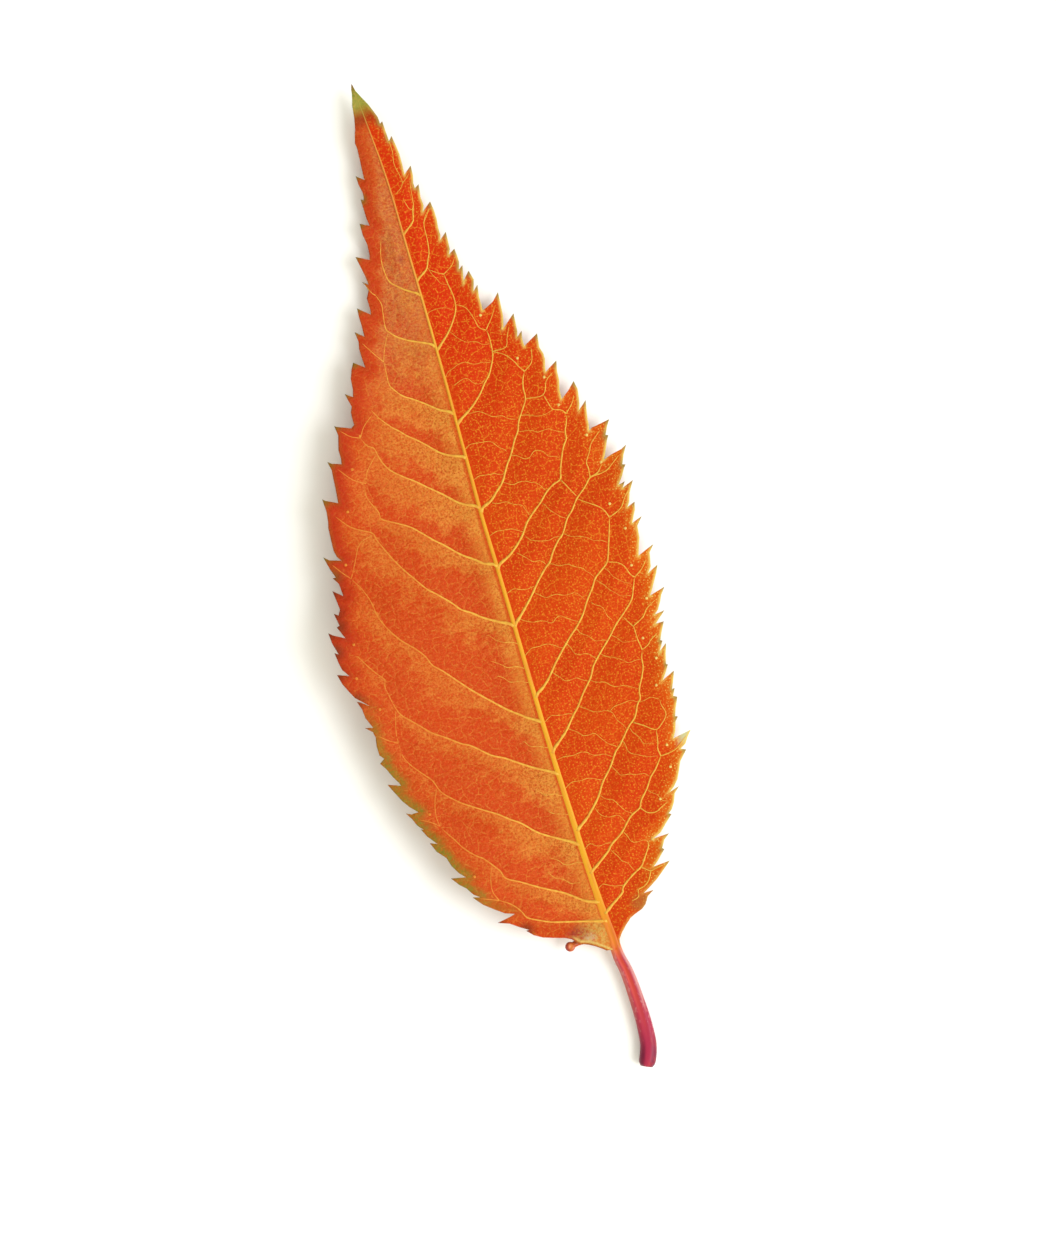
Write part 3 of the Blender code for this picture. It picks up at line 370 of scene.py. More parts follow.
# Pale beads where veins end behind the notches.
VEIN_ENDS = (
    (13.0, 47.05), (12.4, 50.05), (10.6, 53.75), (10.0, 56.8), (8.0, 59.4), (7.4, 62.7), (5.7, 64.6),
    (12.6, 42.8), (13.4, 40.0), (12.9, 36.3), (13.4, 32.7), (11.9, 29.0), (12.6, 26.7), (11.8, 24.1),
    (11.1, 18.1), (10.8, 15.9), (8.9, 13.1), (7.0, 9.5), (-9.3, 56.4), (-10.95, 53.4), (-12.6, 49.5),
    (-15.8, 36.7), (-15.2, 29.8), (-13.5, 18.4), (-11.03, 11.2), (-14.3, 44.5), (-16.5, 33.4),
)


def smooth(t):
    """Cubic ease: 0 below 0, 1 above 1, and 3t^2 - 2t^3 between."""
    t = np.clip(t, 0.0, 1.0)
    return t * t * (3.0 - 2.0 * t)


def spline(points, step):
    """Catmull-Rom curve through the points: each span is the cubic whose slope at a point is half the
    step between that point's neighbours. It is then resampled at equal arc lengths."""
    p = np.asarray(points, float)
    p = np.vstack((2.0 * p[0] - p[1], p, 2.0 * p[-1] - p[-2]))
    t = np.linspace(0.0, 1.0, 9)[:-1][None, :, None]
    a, b, c, d = (p[k:len(p) - 3 + k][:, None] for k in range(4))
    curve = 0.5 * (2 * b + (c - a) * t + (2 * a - 5 * b + 4 * c - d) * t ** 2
                   + (3 * b - a - 3 * c + d) * t ** 3)
    curve = np.vstack((curve.reshape(-1, p.shape[1]), p[-2]))
    arc = np.concatenate(([0.0], np.cumsum(np.linalg.norm(np.diff(curve[:, :2], axis=0), axis=1))))
    at = np.linspace(0.0, arc[-1], max(4, int(arc[-1] / step) + 1))
    return np.column_stack([np.interp(at, arc, curve[:, k]) for k in range(curve.shape[1])])


def spine_x(y):
    """Where the stalk and midrib run, as x at each y."""
    line = np.array(SPINE)
    return np.interp(y, line[:, 1], line[:, 0])


def blade_floor(x, y):
    """Height of the underside's flat spot level: a hyperbola-eased fold on the left, a slight rise on the
    right, sine waves that grow towards both margins, and parabolic lifts at the base and the tip."""
    u = x - spine_x(y)
    left = np.maximum(-u - FOLD_START, 0.0)
    right = np.maximum(u - RIGHT_START, 0.0)
    lift = FOLD_SLOPE * (np.sqrt(left ** 2 + FOLD_EASE ** 2) - FOLD_EASE) - FOLD_CURL * left ** 2
    lift += RIGHT_SLOPE * right * right / (right + 2.0)
    lift += 0.25 * smooth(left / 9.0) * np.sin(2.0 * math.pi * (y - 6.0) / 23.0)
    lift += 0.18 * smooth(right / 8.0) * (1.0 + np.sin(2.0 * math.pi * (y + 3.0) / 19.0))
    lift += BASE_LIFT * np.clip((FLAT_Y0 - y) / FLAT_Y0, 0.0, 1.0) ** 2
    lift += TIP_LIFT * np.clip((y - FLAT_Y1) / (BLADE_END - FLAT_Y1), 0.0, 1.0) ** 2
    return lift


def distance_to(x, y, lines):
    """Least distance from each point to the lines on either hand: to those that the point lies basal of,
    and to those that it lies tipward of. Each is the least over the spans, capped at 6."""
    best = {True: np.full(x.shape, 6.0), False: np.full(x.shape, 6.0)}
    for line in lines:
        p = np.asarray(line, float)[:, :2]
        lo, hi = p.min(0) - 5.0, p.max(0) + 5.0
        near = (x > lo[0]) & (x < hi[0]) & (y > lo[1]) & (y < hi[1])
        px, py = x[near], y[near]
        a, d = p[:-1], np.diff(p, axis=0)
        wx, wy = px[:, None] - a[:, 0], py[:, None] - a[:, 1]
        t = np.clip((wx * d[:, 0] + wy * d[:, 1]) / (d ** 2).sum(1), 0.0, 1.0)
        rx, ry = wx - t * d[:, 0], wy - t * d[:, 1]
        away = np.hypot(rx, ry)
        pick = away.argmin(1)
        rows = np.arange(len(pick))
        least = away[rows, pick]
        turn = d[pick, 0] * ry[rows, pick] - d[pick, 1] * rx[rows, pick]
        basal = (turn < 0.0) == (p[-1, 0] > p[0, 0])
        for hand in (True, False):
            old = best[hand][near]
            best[hand][near] = np.where((basal == hand) & (least < old), least, old)
    return best[True], best[False]


FINE_VEINS = [spline(v, 0.6) for v in MAIN_VEINS]


def quilt(x, y, height):
    """Bulge of the panels between secondary veins: the height times an ease of the distance to a vein.
    The right half bulges about half as much."""
    away = np.minimum(*distance_to(x, y, FINE_VEINS))
    away = np.minimum(away, np.abs(x - spine_x(y)) * 1.1)
    return height * smooth(away / 2.3) ** 0.8 * np.where(x > spine_x(y), 0.55, 1.0)


def top_height(x, y, height):
    """Height of the blade's upper face, without the veins that stand on it."""
    return blade_floor(x, y) + BLADE_DEPTH + quilt(x, y, height)


def to_frame(x, y, z):
    """Drawing millimetres to metres in the part's frame."""
    return np.stack((x - FRAME_CENTRE[0], y - FRAME_CENTRE[1], z), axis=-1) * MM


def grid_faces(rows, columns, wrap=False):
    """Quads of a grid of rows x columns points, closed round the columns where wrap is set."""
    r = np.arange(rows - 1)[:, None]
    c = np.arange(columns if wrap else columns - 1)[None, :]
    n = (c + 1) % columns
    quads = np.stack((r * columns + c, r * columns + n, (r + 1) * columns + n, (r + 1) * columns + c), -1)
    return quads.reshape(-1, 4)


def make_piece(name, points, faces, material, masks=None):
    """A mesh from whole arrays, smooth shaded, riding on the body and standing for the solid."""
    mesh = bpy.data.meshes.new(name)
    faces = np.asarray(faces)
    mesh.vertices.add(len(points))
    mesh.vertices.foreach_set("co", np.asarray(points, np.float32).ravel())
    mesh.loops.add(faces.size)
    mesh.loops.foreach_set("vertex_index", faces.astype(np.int32).ravel())
    mesh.polygons.add(len(faces))
    mesh.polygons.foreach_set("loop_start", np.arange(0, faces.size, faces.shape[1], dtype=np.int32))
    mesh.update(calc_edges=True)
    mesh.shade_smooth()
    for key, values in (masks or {}).items():
        layer = mesh.attributes.new(key, "FLOAT", "POINT")
        layer.data.foreach_set("value", np.asarray(values, np.float32).ravel())
    mesh.materials.append(material)
    piece = bpy.data.objects.new(name, mesh)
    bpy.context.scene.collection.objects.link(piece)
    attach(piece, BODY)
    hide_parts(NODE)
    return piece


def closed_tube(points, ends):
    """A tube from points of rings x sides x 3 and two end points: quads between the rings, and a fan of
    triangles from each end point to the ring beside it."""
    rings, sides = points.shape[:2]
    ring = np.arange(sides)
    following = (ring + 1) % sides
    total = rings * sides
    last = total - sides
    fans = np.vstack((np.column_stack((following, ring, np.full(sides, total))),
                      np.column_stack((ring + last, following + last, np.full(sides, total + 1)))))
    return np.vstack((points.reshape(-1, 3), ends)), grid_faces(rings, sides, wrap=True), fans


def around(sides):
    """Even angles once round a ring."""
    return np.arange(sides) * 2.0 * math.pi / sides


def sideways(path):
    """Unit vector to the right of a path at each of its points, in plan."""
    run = np.gradient(path[:, :2], axis=0)
    run /= np.maximum(np.linalg.norm(run, axis=1), 1e-9)[:, None]
    return np.column_stack((run[:, 1], -run[:, 0]))


def swept(path, half, up, down, sides):
    """A closed tube along a path of x, y, z: at each point an oval whose half-width is given, which
    reaches up and down by the given heights."""
    across = sideways(path)
    turn = around(sides)
    wide = np.cos(turn)[None, :] * half[:, None]
    rise = np.sin(turn)
    tall = np.where(rise > 0, rise * up[:, None], rise * down[:, None])
    x = path[:, 0:1] + across[:, 0:1] * wide
    y = path[:, 1:2] + across[:, 1:2] * wide
    points = to_frame(x, y, path[:, 2:3] + tall)
    return closed_tube(points, (points[0].mean(0), points[-1].mean(0)))


def join_parts(parts):
    """Several point and face arrays as one, with quads split into triangles."""
    points, faces = [], []
    start = 0
    for p, quads, tris in parts:
        faces.append(quads[:, [0, 1, 2]] + start)
        faces.append(quads[:, [0, 2, 3]] + start)
        faces.append(tris + start)
        points.append(p)
        start += len(p)
    return np.vstack(points), np.vstack(faces)


def socket(group, name, kind, inward=True, default=None):
    """A new input or output of a node group."""
    made = group.interface.new_socket(name, in_out="INPUT" if inward else "OUTPUT", socket_type=kind)
    if default is not None:
        made.default_value = default
    return made


class Nodes:
    """Short calls that add nodes to a tree and link what they are given."""

    def __init__(self, tree):
        """Keeps the tree that the nodes go into."""
        self.tree = tree

    def add(self, kind, **settings):
        """A node with its settings."""
        node = self.tree.nodes.new(kind)
        for key, value in settings.items():
            setattr(node, key, value)
        return node

    def put(self, node, where, value):
        """Links an output to the input, or sets the input's own value."""
        if isinstance(value, bpy.types.NodeSocket):
            self.tree.links.new(value, node.inputs[where])
        else:
            node.inputs[where].default_value = value

    def math(self, what, a, b=0.0):
        """One sum on one or two values."""
        node = self.add("ShaderNodeMath", operation=what)
        self.put(node, 0, a)
        self.put(node, 1, b)
        return node.outputs[0]

    def times(self, a, b):
        """Product of two values."""
        return self.math("MULTIPLY", a, b)

    def plus(self, a, b):
        """Sum of two values."""
        return self.math("ADD", a, b)

    def ease(self, value, low, high, out_low=0.0, out_high=1.0):
        """Cubic ease from out_low to out_high while the value goes from low to high."""
        node = self.add("ShaderNodeMapRange", interpolation_type="SMOOTHSTEP")
        for k, v in enumerate((value, low, high, out_low, out_high)):
            self.put(node, k, v)
        return node.outputs[0]

    def mix(self, share, a, b):
        """Colour a, with a share of colour b."""
        node = self.add("ShaderNodeMix", data_type="RGBA")
        self.put(node, 0, share)
        self.put(node, 6, a)
        self.put(node, 7, b)
        return node.outputs[2]

    def mask(self, name):
        """A mask that the mesh carries."""
        return self.add("ShaderNodeAttribute", attribute_type="GEOMETRY", attribute_name=name).outputs["Fac"]

    def place(self, scale=(1.0, 1.0, 1.0)):
        """Place in the piece, in metres, stretched by a scale."""
        coords = self.add("ShaderNodeTexCoord").outputs["Object"]
        node = self.add("ShaderNodeMapping")
        self.put(node, "Vector", coords)
        self.put(node, "Scale", scale)
        return node.outputs[0]

    def noise(self, vector, scale, detail=2.0, rough=0.5):
        """Cloudy noise from 0 to 1."""
        node = self.add("ShaderNodeTexNoise")
        self.put(node, "Vector", vector)
        self.put(node, "Scale", scale)
        self.put(node, "Detail", detail)
        self.put(node, "Roughness", rough)
        return node.outputs["Fac"]


def lit(red, green, blue):
    """The paint that shows as this screen colour under the stage's light: each of red, green and blue from
    0 to 255 is made scene-linear and divided by STAGE_LIGHT."""
    v = np.array((red, green, blue), float) / 255.0
    v = np.where(v <= 0.04045, v / 12.92, ((v + 0.055) / 1.055) ** 2.4) / STAGE_LIGHT
    return (*[float(c) for c in v], 1.0)


def vein_net_group():
    """The fine meshwork of the blade: edges of irregular cells at two sizes, as masks, with a height in
    which the cells stand up between their edges."""
    tree = bpy.data.node_groups.get("vein meshwork")
    if tree:
        return tree
    tree = bpy.data.node_groups.new("vein meshwork", "ShaderNodeTree")
    socket(tree, "Vector", "NodeSocketVector")
    socket(tree, "Fine cell", "NodeSocketFloat", default=0.36)
    socket(tree, "Coarse cell", "NodeSocketFloat", default=0.95)
    socket(tree, "Fine", "NodeSocketFloat", inward=False)
    socket(tree, "Coarse", "NodeSocketFloat", inward=False)
    socket(tree, "Height", "NodeSocketFloat", inward=False)
    n = Nodes(tree)
    given = n.add("NodeGroupInput").outputs
    out = n.add("NodeGroupOutput")
    scale = n.add("ShaderNodeVectorMath", operation="SCALE")
    n.put(scale, 0, given["Vector"])
    n.put(scale, "Scale", 1000.0)
    wobble = n.add("ShaderNodeTexNoise")
    n.put(wobble, "Vector", scale.outputs[0])
    n.put(wobble, "Scale", 1.3)
    n.put(wobble, "Detail", 2.0)
    bent = n.add("ShaderNodeVectorMath", operation="MULTIPLY_ADD")
    n.put(bent, 0, wobble.outputs["Color"])
    n.put(bent, 1, (0.35, 0.35, 0.0))
    n.put(bent, 2, scale.outputs[0])
    masks = []
    for size, width in (("Fine cell", 0.16), ("Coarse cell", 0.08)):
        cells = n.add("ShaderNodeTexVoronoi", feature="DISTANCE_TO_EDGE", voronoi_dimensions="2D")
        n.put(cells, "Vector", bent.outputs[0])
        n.put(cells, "Scale", n.math("DIVIDE", 1.0, given[size]))
        masks.append((cells.outputs["Distance"], n.ease(cells.outputs["Distance"], 0.0, width, 1.0, 0.0)))
    blotch = n.noise(scale.outputs[0], 2.6, 3.0, 0.65)
    spots = n.add("ShaderNodeTexVoronoi", feature="F1", voronoi_dimensions="2D")
    n.put(spots, "Vector", bent.outputs[0])
    n.put(spots, "Scale", n.math("DIVIDE", 1.05, given["Fine cell"]))
    n.put(spots, "Randomness", 0.8)
    bright = n.add("ShaderNodeSeparateColor")
    n.put(bright, 0, spots.outputs["Color"])
    dots = n.times(n.ease(spots.outputs["Distance"], 0.1, 0.27, 1.0, 0.0),
                   n.ease(bright.outputs[0], 0.05, 0.8, 0.25, 1.0))
    broken = n.ease(n.noise(scale.outputs[0], 3.6, 1.0), 0.42, 0.6, 0.0, 0.35)
    n.put(out, "Fine", n.math("MAXIMUM", n.times(masks[0][1], broken), dots))
    n.put(out, "Coarse", n.times(masks[1][1], n.ease(blotch, 0.42, 0.6)))
    low = n.times(n.ease(masks[0][0], 0.0, 0.3), 0.45)
    n.put(out, "Height", n.plus(low, n.ease(masks[1][0], 0.0, 0.35)))
    return tree


def new_material(name):
    """An empty material with a Principled shader: the material, its nodes and the shader."""
    made = bpy.data.materials.new(name)
    made.use_nodes = True
    made.node_tree.nodes.clear()
    n = Nodes(made.node_tree)
    shader = n.add("ShaderNodeBsdfPrincipled")
    out = n.add("ShaderNodeOutputMaterial")
    made.node_tree.links.new(shader.outputs[0], out.inputs["Surface"])
    return made, n, shader


def bump(n, shader, height, distance, strength=1.0):
    """Relief of a height field, in metres at full height."""
    node = n.add("ShaderNodeBump")
    n.put(node, "Height", height)
    n.put(node, "Distance", distance)
    n.put(node, "Strength", strength)
    n.put(shader, "Normal", node.outputs[0])


class BladeFields:
    """What the blade's colours share: its masks, the meshwork and the noises of its grain."""

    def __init__(self, n):
        """Adds the nodes. A noise's scale is in features per metre."""
        place = n.place()
        self.net = n.add("ShaderNodeGroup", node_tree=vein_net_group())
        n.put(self.net, "Vector", place)
        self.across = n.mask("across")
        self.along = n.mask("along")
        self.edge = n.mask("edge")
        self.right = n.ease(self.across, -0.25, 0.25)
        self.wide = n.noise(place, 160.0, 3.0)
        self.mottle = n.noise(n.place((1.0, 1.5, 1.0)), 620.0, 5.0, 0.65)
        self.cloud = n.noise(place, 1500.0, 3.0, 0.6)
        self.speck = n.noise(place, 4400.0, 3.0, 0.6)
        self.fleck = n.noise(n.place((1.0, 1.6, 1.0)), 3600.0, 4.0, 0.7)
        self.grain = n.noise(n.place((1.3, 1.0, 1.0)), 4200.0, 4.0, 0.7)


def right_half(n, f, tones):
    """Red-orange in wide soft patches, purer red towards the tip, under the meshwork's yellow dots and
    lines."""
    base = n.mix(n.ease(f.wide, 0.35, 0.65), tones.red, tones.orange)
    base = n.mix(n.ease(f.speck, 0.5, 0.65, 0.0, 0.3), base, tones.dark_red)
    base = n.mix(n.ease(f.along, 48.0, 66.0, 0.0, 0.8), base, tones.high_red)
    dots = n.times(f.net.outputs["Fine"], n.ease(f.along, 56.0, 70.0, 0.68, 0.5))
    base = n.mix(dots, base, tones.meshwork)
    lines = n.times(f.net.outputs["Coarse"], n.ease(f.along, 25.0, 50.0, 0.4, 0.65))
    return n.mix(lines, base, tones.meshwork)


def sheen_patches(n, f):
    """Share of the left half's pale tone, a painted sheen: high on the basal side of each vein, broken by
    two noises, higher at the base and in the middle, and nothing at the margin."""
    patch = n.plus(n.mask("panel"), n.ease(f.wide, 0.3, 0.7, -0.18, 0.18))
    patch = n.plus(patch, n.ease(f.mottle, 0.3, 0.7, -0.24, 0.24))
    patch = n.plus(patch, n.ease(f.along, 40.0, 50.0, -0.04, 0.28))
    patch = n.plus(patch, n.ease(f.along, 54.0, 66.0, 0.0, -0.22))
    patch = n.plus(patch, n.ease(f.along, 15.0, 4.0, 0.0, 0.24))
    pale = n.times(n.ease(patch, 0.32, 0.9), n.ease(f.across, -9.0, -1.5, 0.45, 1.0))
    return n.times(pale, n.ease(f.edge, 0.5, 3.6))


def left_half(n, f, tones):
    """Deep orange with pale patches of painted sheen, a golden strip beside the midrib and a painted pinkish
    sheen above, under light and dark grain that is strongest where the sheen is painted. The margin is a
    deeper red."""
    # The pale patches are painted sheen on the slopes of the panels that face the light.
    pale = sheen_patches(n, f)
    left = n.mix(pale, tones.left_deep, tones.left_pale_sheen)
    strip = n.times(n.ease(f.across, -2.6, -0.3, 0.0, 0.65), n.ease(f.along, 45.0, 75.0, 1.0, 0.3))
    left = n.mix(strip, left, tones.left_strip)
    # Painted pinkish sheen over the upper left half, short of the margin.
    upper_sheen = n.times(n.ease(f.along, 55.0, 72.0), n.ease(f.edge, 0.9, 1.9))
    upper_sheen = n.times(upper_sheen, n.ease(f.cloud, 0.35, 0.6, 0.45, 1.0))
    left = n.mix(upper_sheen, left, tones.left_upper_sheen)
    # The grain is strongest where the sheen is painted.
    rough = n.plus(0.3, n.times(n.math("MAXIMUM", pale, upper_sheen), 0.7))
    left = n.mix(n.times(n.ease(f.fleck, 0.5, 0.55, 0.0, 0.5), rough), left, tones.left_tan)
    left = n.mix(n.ease(f.fleck, 0.49, 0.42, 0.0, 0.5), left, tones.left_deep)
    left = n.mix(n.times(n.ease(f.grain, 0.52, 0.6, 0.0, 0.6), rough), left, tones.left_light)
    dark = n.times(n.ease(f.grain, 0.47, 0.41, 0.0, 0.7), n.ease(f.along, 54.0, 66.0, 1.0, 0.5))
    left = n.mix(n.times(dark, rough), left, tones.left_dark)
    left = n.mix(n.times(f.net.outputs["Coarse"], 0.28), left, tones.vein_left)
    deeper = n.times(n.ease(f.along, 28.0, 38.0), n.ease(f.along, 66.0, 54.0, 0.65, 1.0))
    deeper = n.times(n.ease(f.edge, 1.9, 0.3, 0.0, 0.8), deeper)
    return n.mix(deeper, left, tones.left_margin)


def with_margins(n, f, tones, colour):
    """Red beside the midrib, a painted orange glow of light through the thin right margin with yellow sparks
    and a painted yellow line of light on its teeth, the bleached tooth, olive in the lower left margin and
    the browned tooth tips."""
    beside = n.ease(n.math("ABSOLUTE", f.across), 0.62, 0.35, 0.0, 0.7)
    colour = n.mix(n.times(beside, n.ease(f.along, 50.0, 70.0, 1.0, 0.2)), colour, tones.red)
    # Painted glow of light through the thin right margin, with sparks of it on the meshwork dots.
    warm = n.times(n.mask("glow"), n.ease(f.along, 35.0, 60.0, 0.55, 0.15))
    colour = n.mix(warm, colour, tones.edge_glow)
    sparks = n.times(n.times(f.net.outputs["Fine"], warm), 1.5)
    colour = n.mix(sparks, colour, tones.lit_edge)
    colour = n.mix(n.mask("bleach"), colour, tones.pale_tooth)
    # Painted light along the long flanks of the right teeth.
    colour = n.mix(n.mask("lit"), colour, tones.lit_edge)
    olive = n.times(n.mask("olive"), n.ease(f.speck, 0.42, 0.56, 0.6, 1.0))
    colour = n.mix(n.times(olive, n.ease(f.mottle, 0.35, 0.6, 0.9, 0.6)), colour, tones.olive)
    tooth = n.mix(n.ease(f.along, 42.0, 46.0, 0.0, 0.6), tones.tooth_left, tones.olive)
    tooth = n.mix(f.right, tooth, tones.tooth_right)
    spared = n.times(n.mask("olive"), -0.75)
    return n.mix(n.times(n.mask("tooth"), n.plus(0.9, spared)), colour, tooth)


def with_ends(n, f, tones, colour):
    """The mottled green tip with its brown point and the dusk below it, and at the left base the golden
    mottling, the crimson stain, a painted waxy sheen and the two lines of the rim."""
    dusk = n.times(n.ease(f.along, 85.4, 86.8), n.ease(f.along, 88.2, 87.0))
    colour = n.mix(n.times(dusk, 0.5), colour, tones.tooth_left)
    green = n.mix(n.ease(f.mottle, 0.4, 0.62, 0.0, 0.6), tones.green_tip, tones.olive)
    green = n.mix(n.ease(f.speck, 0.5, 0.62, 0.0, 0.35), green, tones.base_gold)
    colour = n.mix(n.mask("tip"), colour, green)
    colour = n.mix(n.ease(f.along, 89.2, 90.1, 0.0, 0.7), colour, tones.tooth_left)
    golden = n.times(n.mask("gold"), n.ease(f.speck, 0.42, 0.54, 0.2, 0.95))
    colour = n.mix(golden, colour, tones.base_gold)
    stain = n.times(n.mask("crimson"), n.ease(f.grain, 0.42, 0.56, 0.3, 0.85))
    colour = n.mix(stain, colour, tones.crimson)
    # Painted sheen: a greyish pale spot at the left base.
    sheen_share = n.times(n.mask("sheen"), n.ease(f.grain, 0.44, 0.56, 0.25, 0.85))
    colour = n.mix(sheen_share, colour, tones.sheen)
    colour = n.mix(n.mask("rim_pale"), colour, tones.rim_pale)
    return n.mix(n.mask("rim_dark"), colour, tones.rim_dark)


def blade_material(tones):
    """Waxy autumn blade, duller on the right, with the relief of its meshwork and grain."""
    made, n, shader = new_material("leaf blade")
    f = BladeFields(n)
    colour = n.mix(f.right, left_half(n, f, tones), right_half(n, f, tones))
    colour = with_margins(n, f, tones, colour)
    n.put(shader, "Base Color", with_ends(n, f, tones, colour))
    dull = n.times(f.right, 0.26)
    n.put(shader, "Roughness", n.plus(dull, n.ease(f.fleck, 0.3, 0.7, 0.34, 0.46)))
    shader.inputs["Specular IOR Level"].default_value = 0.1
    relief = n.times(f.net.outputs["Height"], n.ease(f.right, 0.0, 1.0, 0.7, 0.35))
    relief = n.plus(relief, n.times(f.fleck, n.ease(f.right, 0.0, 1.0, 0.8, 0.6)))
    relief = n.plus(relief, n.times(f.grain, n.ease(f.right, 0.0, 1.0, 2.2, 0.6)))
    bump(n, shader, relief, 0.00005)
    return made


def vein_material(name, tones, strong, fade, worn=0.25):
    """Vein ridges: one yellow on the left half and another on the right, eased to red towards the left
    margin and, by fade, the right one, and to green at the tip. Worn is the share of orange grain."""
    made, n, shader = new_material(name)
    coords = n.add("ShaderNodeSeparateXYZ")
    n.put(coords, 0, n.place((1000.0, 1000.0, 1000.0)))
    x = n.plus(coords.outputs[0], FRAME_CENTRE[0])
    y = n.plus(coords.outputs[1], FRAME_CENTRE[1])
    right = n.ease(x, -1.0, 1.0)
    tone = n.mix(right, tones.vein_left, strong)
    far = n.math("MAXIMUM", n.ease(x, -3.0, -12.0, 0.0, 0.45), n.ease(x, 5.0, 13.0, 0.0, fade))
    tone = n.mix(far, tone, tones.red)
    tone = n.mix(n.ease(y, 84.0, 89.0), tone, tones.green_tip)
    grain = n.noise(n.place(), 2400.0, 2.0)
    tone = n.mix(n.ease(grain, 0.42, 0.6, 0.0, worn), tone, tones.orange)
    n.put(shader, "Base Color", tone)
    n.put(shader, "Roughness", n.ease(grain, 0.3, 0.7, 0.42, 0.55))
    shader.inputs["Specular IOR Level"].default_value = 0.12
    bump(n, shader, grain, 0.00002, 0.6)
    return made


def stalk_material(tones):
    """Stalk and midrib, as eases of the places along and across them: magenta sides with a coral channel,
    a painted pink highlight on the right side, painted light on the shaded left side and painted glints
    below the blade, darkening to the scar, and orange-yellow along the blade with a thin red line on its
    left, under fine lengthwise streaks."""
    made, n, shader = new_material("stalk and midrib")
    along, lane = n.mask("along"), n.mask("lane")
    streak = n.noise(n.place((2600.0, 260.0, 2600.0)), 1.0, 3.0)
    ridge = n.mix(n.ease(along, -2.0, 9.0), tones.midrib_base, tones.midrib)
    ridge = n.mix(n.ease(along, 50.0, 80.0), ridge, tones.vein_right)
    ridge = n.mix(n.ease(along, 60.0, 78.0, 0.0, 0.7), ridge, tones.left_light)
    ridge = n.mix(n.ease(along, 84.0, 88.0, 0.0, 0.8), ridge, tones.green_tip)
    sides = n.mix(n.ease(along, -11.5, -8.0), tones.scar, tones.magenta)
    channel = n.mix(n.ease(along, -10.5, -2.0), tones.magenta, tones.coral)
    middle = n.ease(n.math("ABSOLUTE", lane), 0.2, 0.55, 1.0, 0.0)
    stalk = n.mix(middle, sides, channel)
    # Painted pink highlight along the stalk's right side.
    lustre = n.ease(n.plus(streak, n.ease(along, -9.0, -4.0, -0.35, 0.1)), 0.3, 0.6)
    shine = n.times(n.ease(lane, 0.45, 0.8), lustre)
    stalk = n.mix(shine, stalk, tones.stalk_shine)
    # Painted light on the stalk's shaded left side: coral, then some of the pink highlight.
    shade = n.times(n.ease(lane, -0.35, -0.75), n.ease(along, -9.0, -3.0, 0.0, 0.85))
    stalk = n.mix(shade, stalk, tones.coral)
    stalk = n.mix(n.times(shade, 0.45), stalk, tones.stalk_shine)
    # Painted glints on the stalk's sides.
    glints = n.noise(n.place((1.0, 0.5, 1.0)), 3400.0, 3.0, 0.6)
    glints = n.times(n.ease(glints, 0.54, 0.64, 0.0, 0.5), n.ease(along, -11.0, -7.0))
    stalk = n.mix(n.times(glints, n.ease(middle, 0.9, 0.3)), stalk, tones.stalk_shine)
    colour = n.mix(n.ease(along, -1.2, 1.0), stalk, ridge)
    redline = n.times(n.ease(lane, -0.95, -0.75, 1.0, 0.0), n.ease(along, 0.0, 3.0))
    redline = n.times(redline, n.ease(along, 40.0, 60.0, 1.0, 0.0))
    colour = n.mix(n.times(redline, 0.6), colour, tones.red)
    colour = n.mix(n.ease(streak, 0.45, 0.75, 0.0, 0.4), colour, tones.coral)
    n.put(shader, "Base Color", colour)
    n.put(shader, "Roughness", n.ease(streak, 0.3, 0.7, 0.34, 0.46))
    shader.inputs["Specular IOR Level"].default_value = 0.2
    bump(n, shader, streak, 0.00003, 0.6)
    return made


def gland_material(tones):
    """Nectar gland: orange-tan, crimson where it is shaded, with a tan glint and some orange grain."""
    made, n, shader = new_material("nectar gland")
    grain = n.noise(n.place(), 3000.0, 2.0)
    # Painted shade: crimson on the side of the head turned away from the light.
    tone = n.mix(n.mask("shaded"), tones.gland, tones.crimson)
    # Painted highlight: the tan glint in the middle of the dish.
    tone = n.mix(n.times(n.mask("glint"), 0.8), tone, tones.left_tan)
    tone = n.mix(n.ease(grain, 0.4, 0.7, 0.0, 0.3), tone, tones.orange)
    n.put(shader, "Base Color", tone)
    n.put(shader, "Roughness", n.ease(grain, 0.3, 0.7, 0.22, 0.4))
    shader.inputs["Coat Weight"].default_value = 0.12
    shader.inputs["Coat Roughness"].default_value = 0.15
    bump(n, shader, grain, 0.00002, 0.6)
    return made


def colour_prop(label, about, value):
    """A colour that a user may change."""
    return bpy.props.FloatVectorProperty(
        name=label, description=about, subtype="COLOR", size=4, min=0.0, max=1.0, default=value)


class LeafSizes(bpy.types.PropertyGroup):
    """Sizes of the leaf in millimetres."""

    blade_thickness: bpy.props.FloatProperty(
        name="Blade thickness", description="Thickness of the blade between its veins, in millimetres",
        default=0.34, min=0.2, max=0.6)
    quilting: bpy.props.FloatProperty(
        name="Quilting", description="How far the panels bulge between the veins, in millimetres",
        default=0.34, min=0.0, max=0.8)
    vein_width: bpy.props.FloatProperty(
        name="Vein width", description="Half-width of a secondary vein at the midrib, in millimetres",
        default=0.112, min=0.05, max=0.3)
    cross_vein_width: bpy.props.FloatProperty(
        name="Cross vein width", description="Half-width of a cross vein, in millimetres",
        default=0.036, min=0.02, max=0.15)
    gland_radius: bpy.props.FloatProperty(
        name="Gland radius", description="Radius of the nectar gland's head, in millimetres",
        default=0.5, min=0.2, max=0.8)


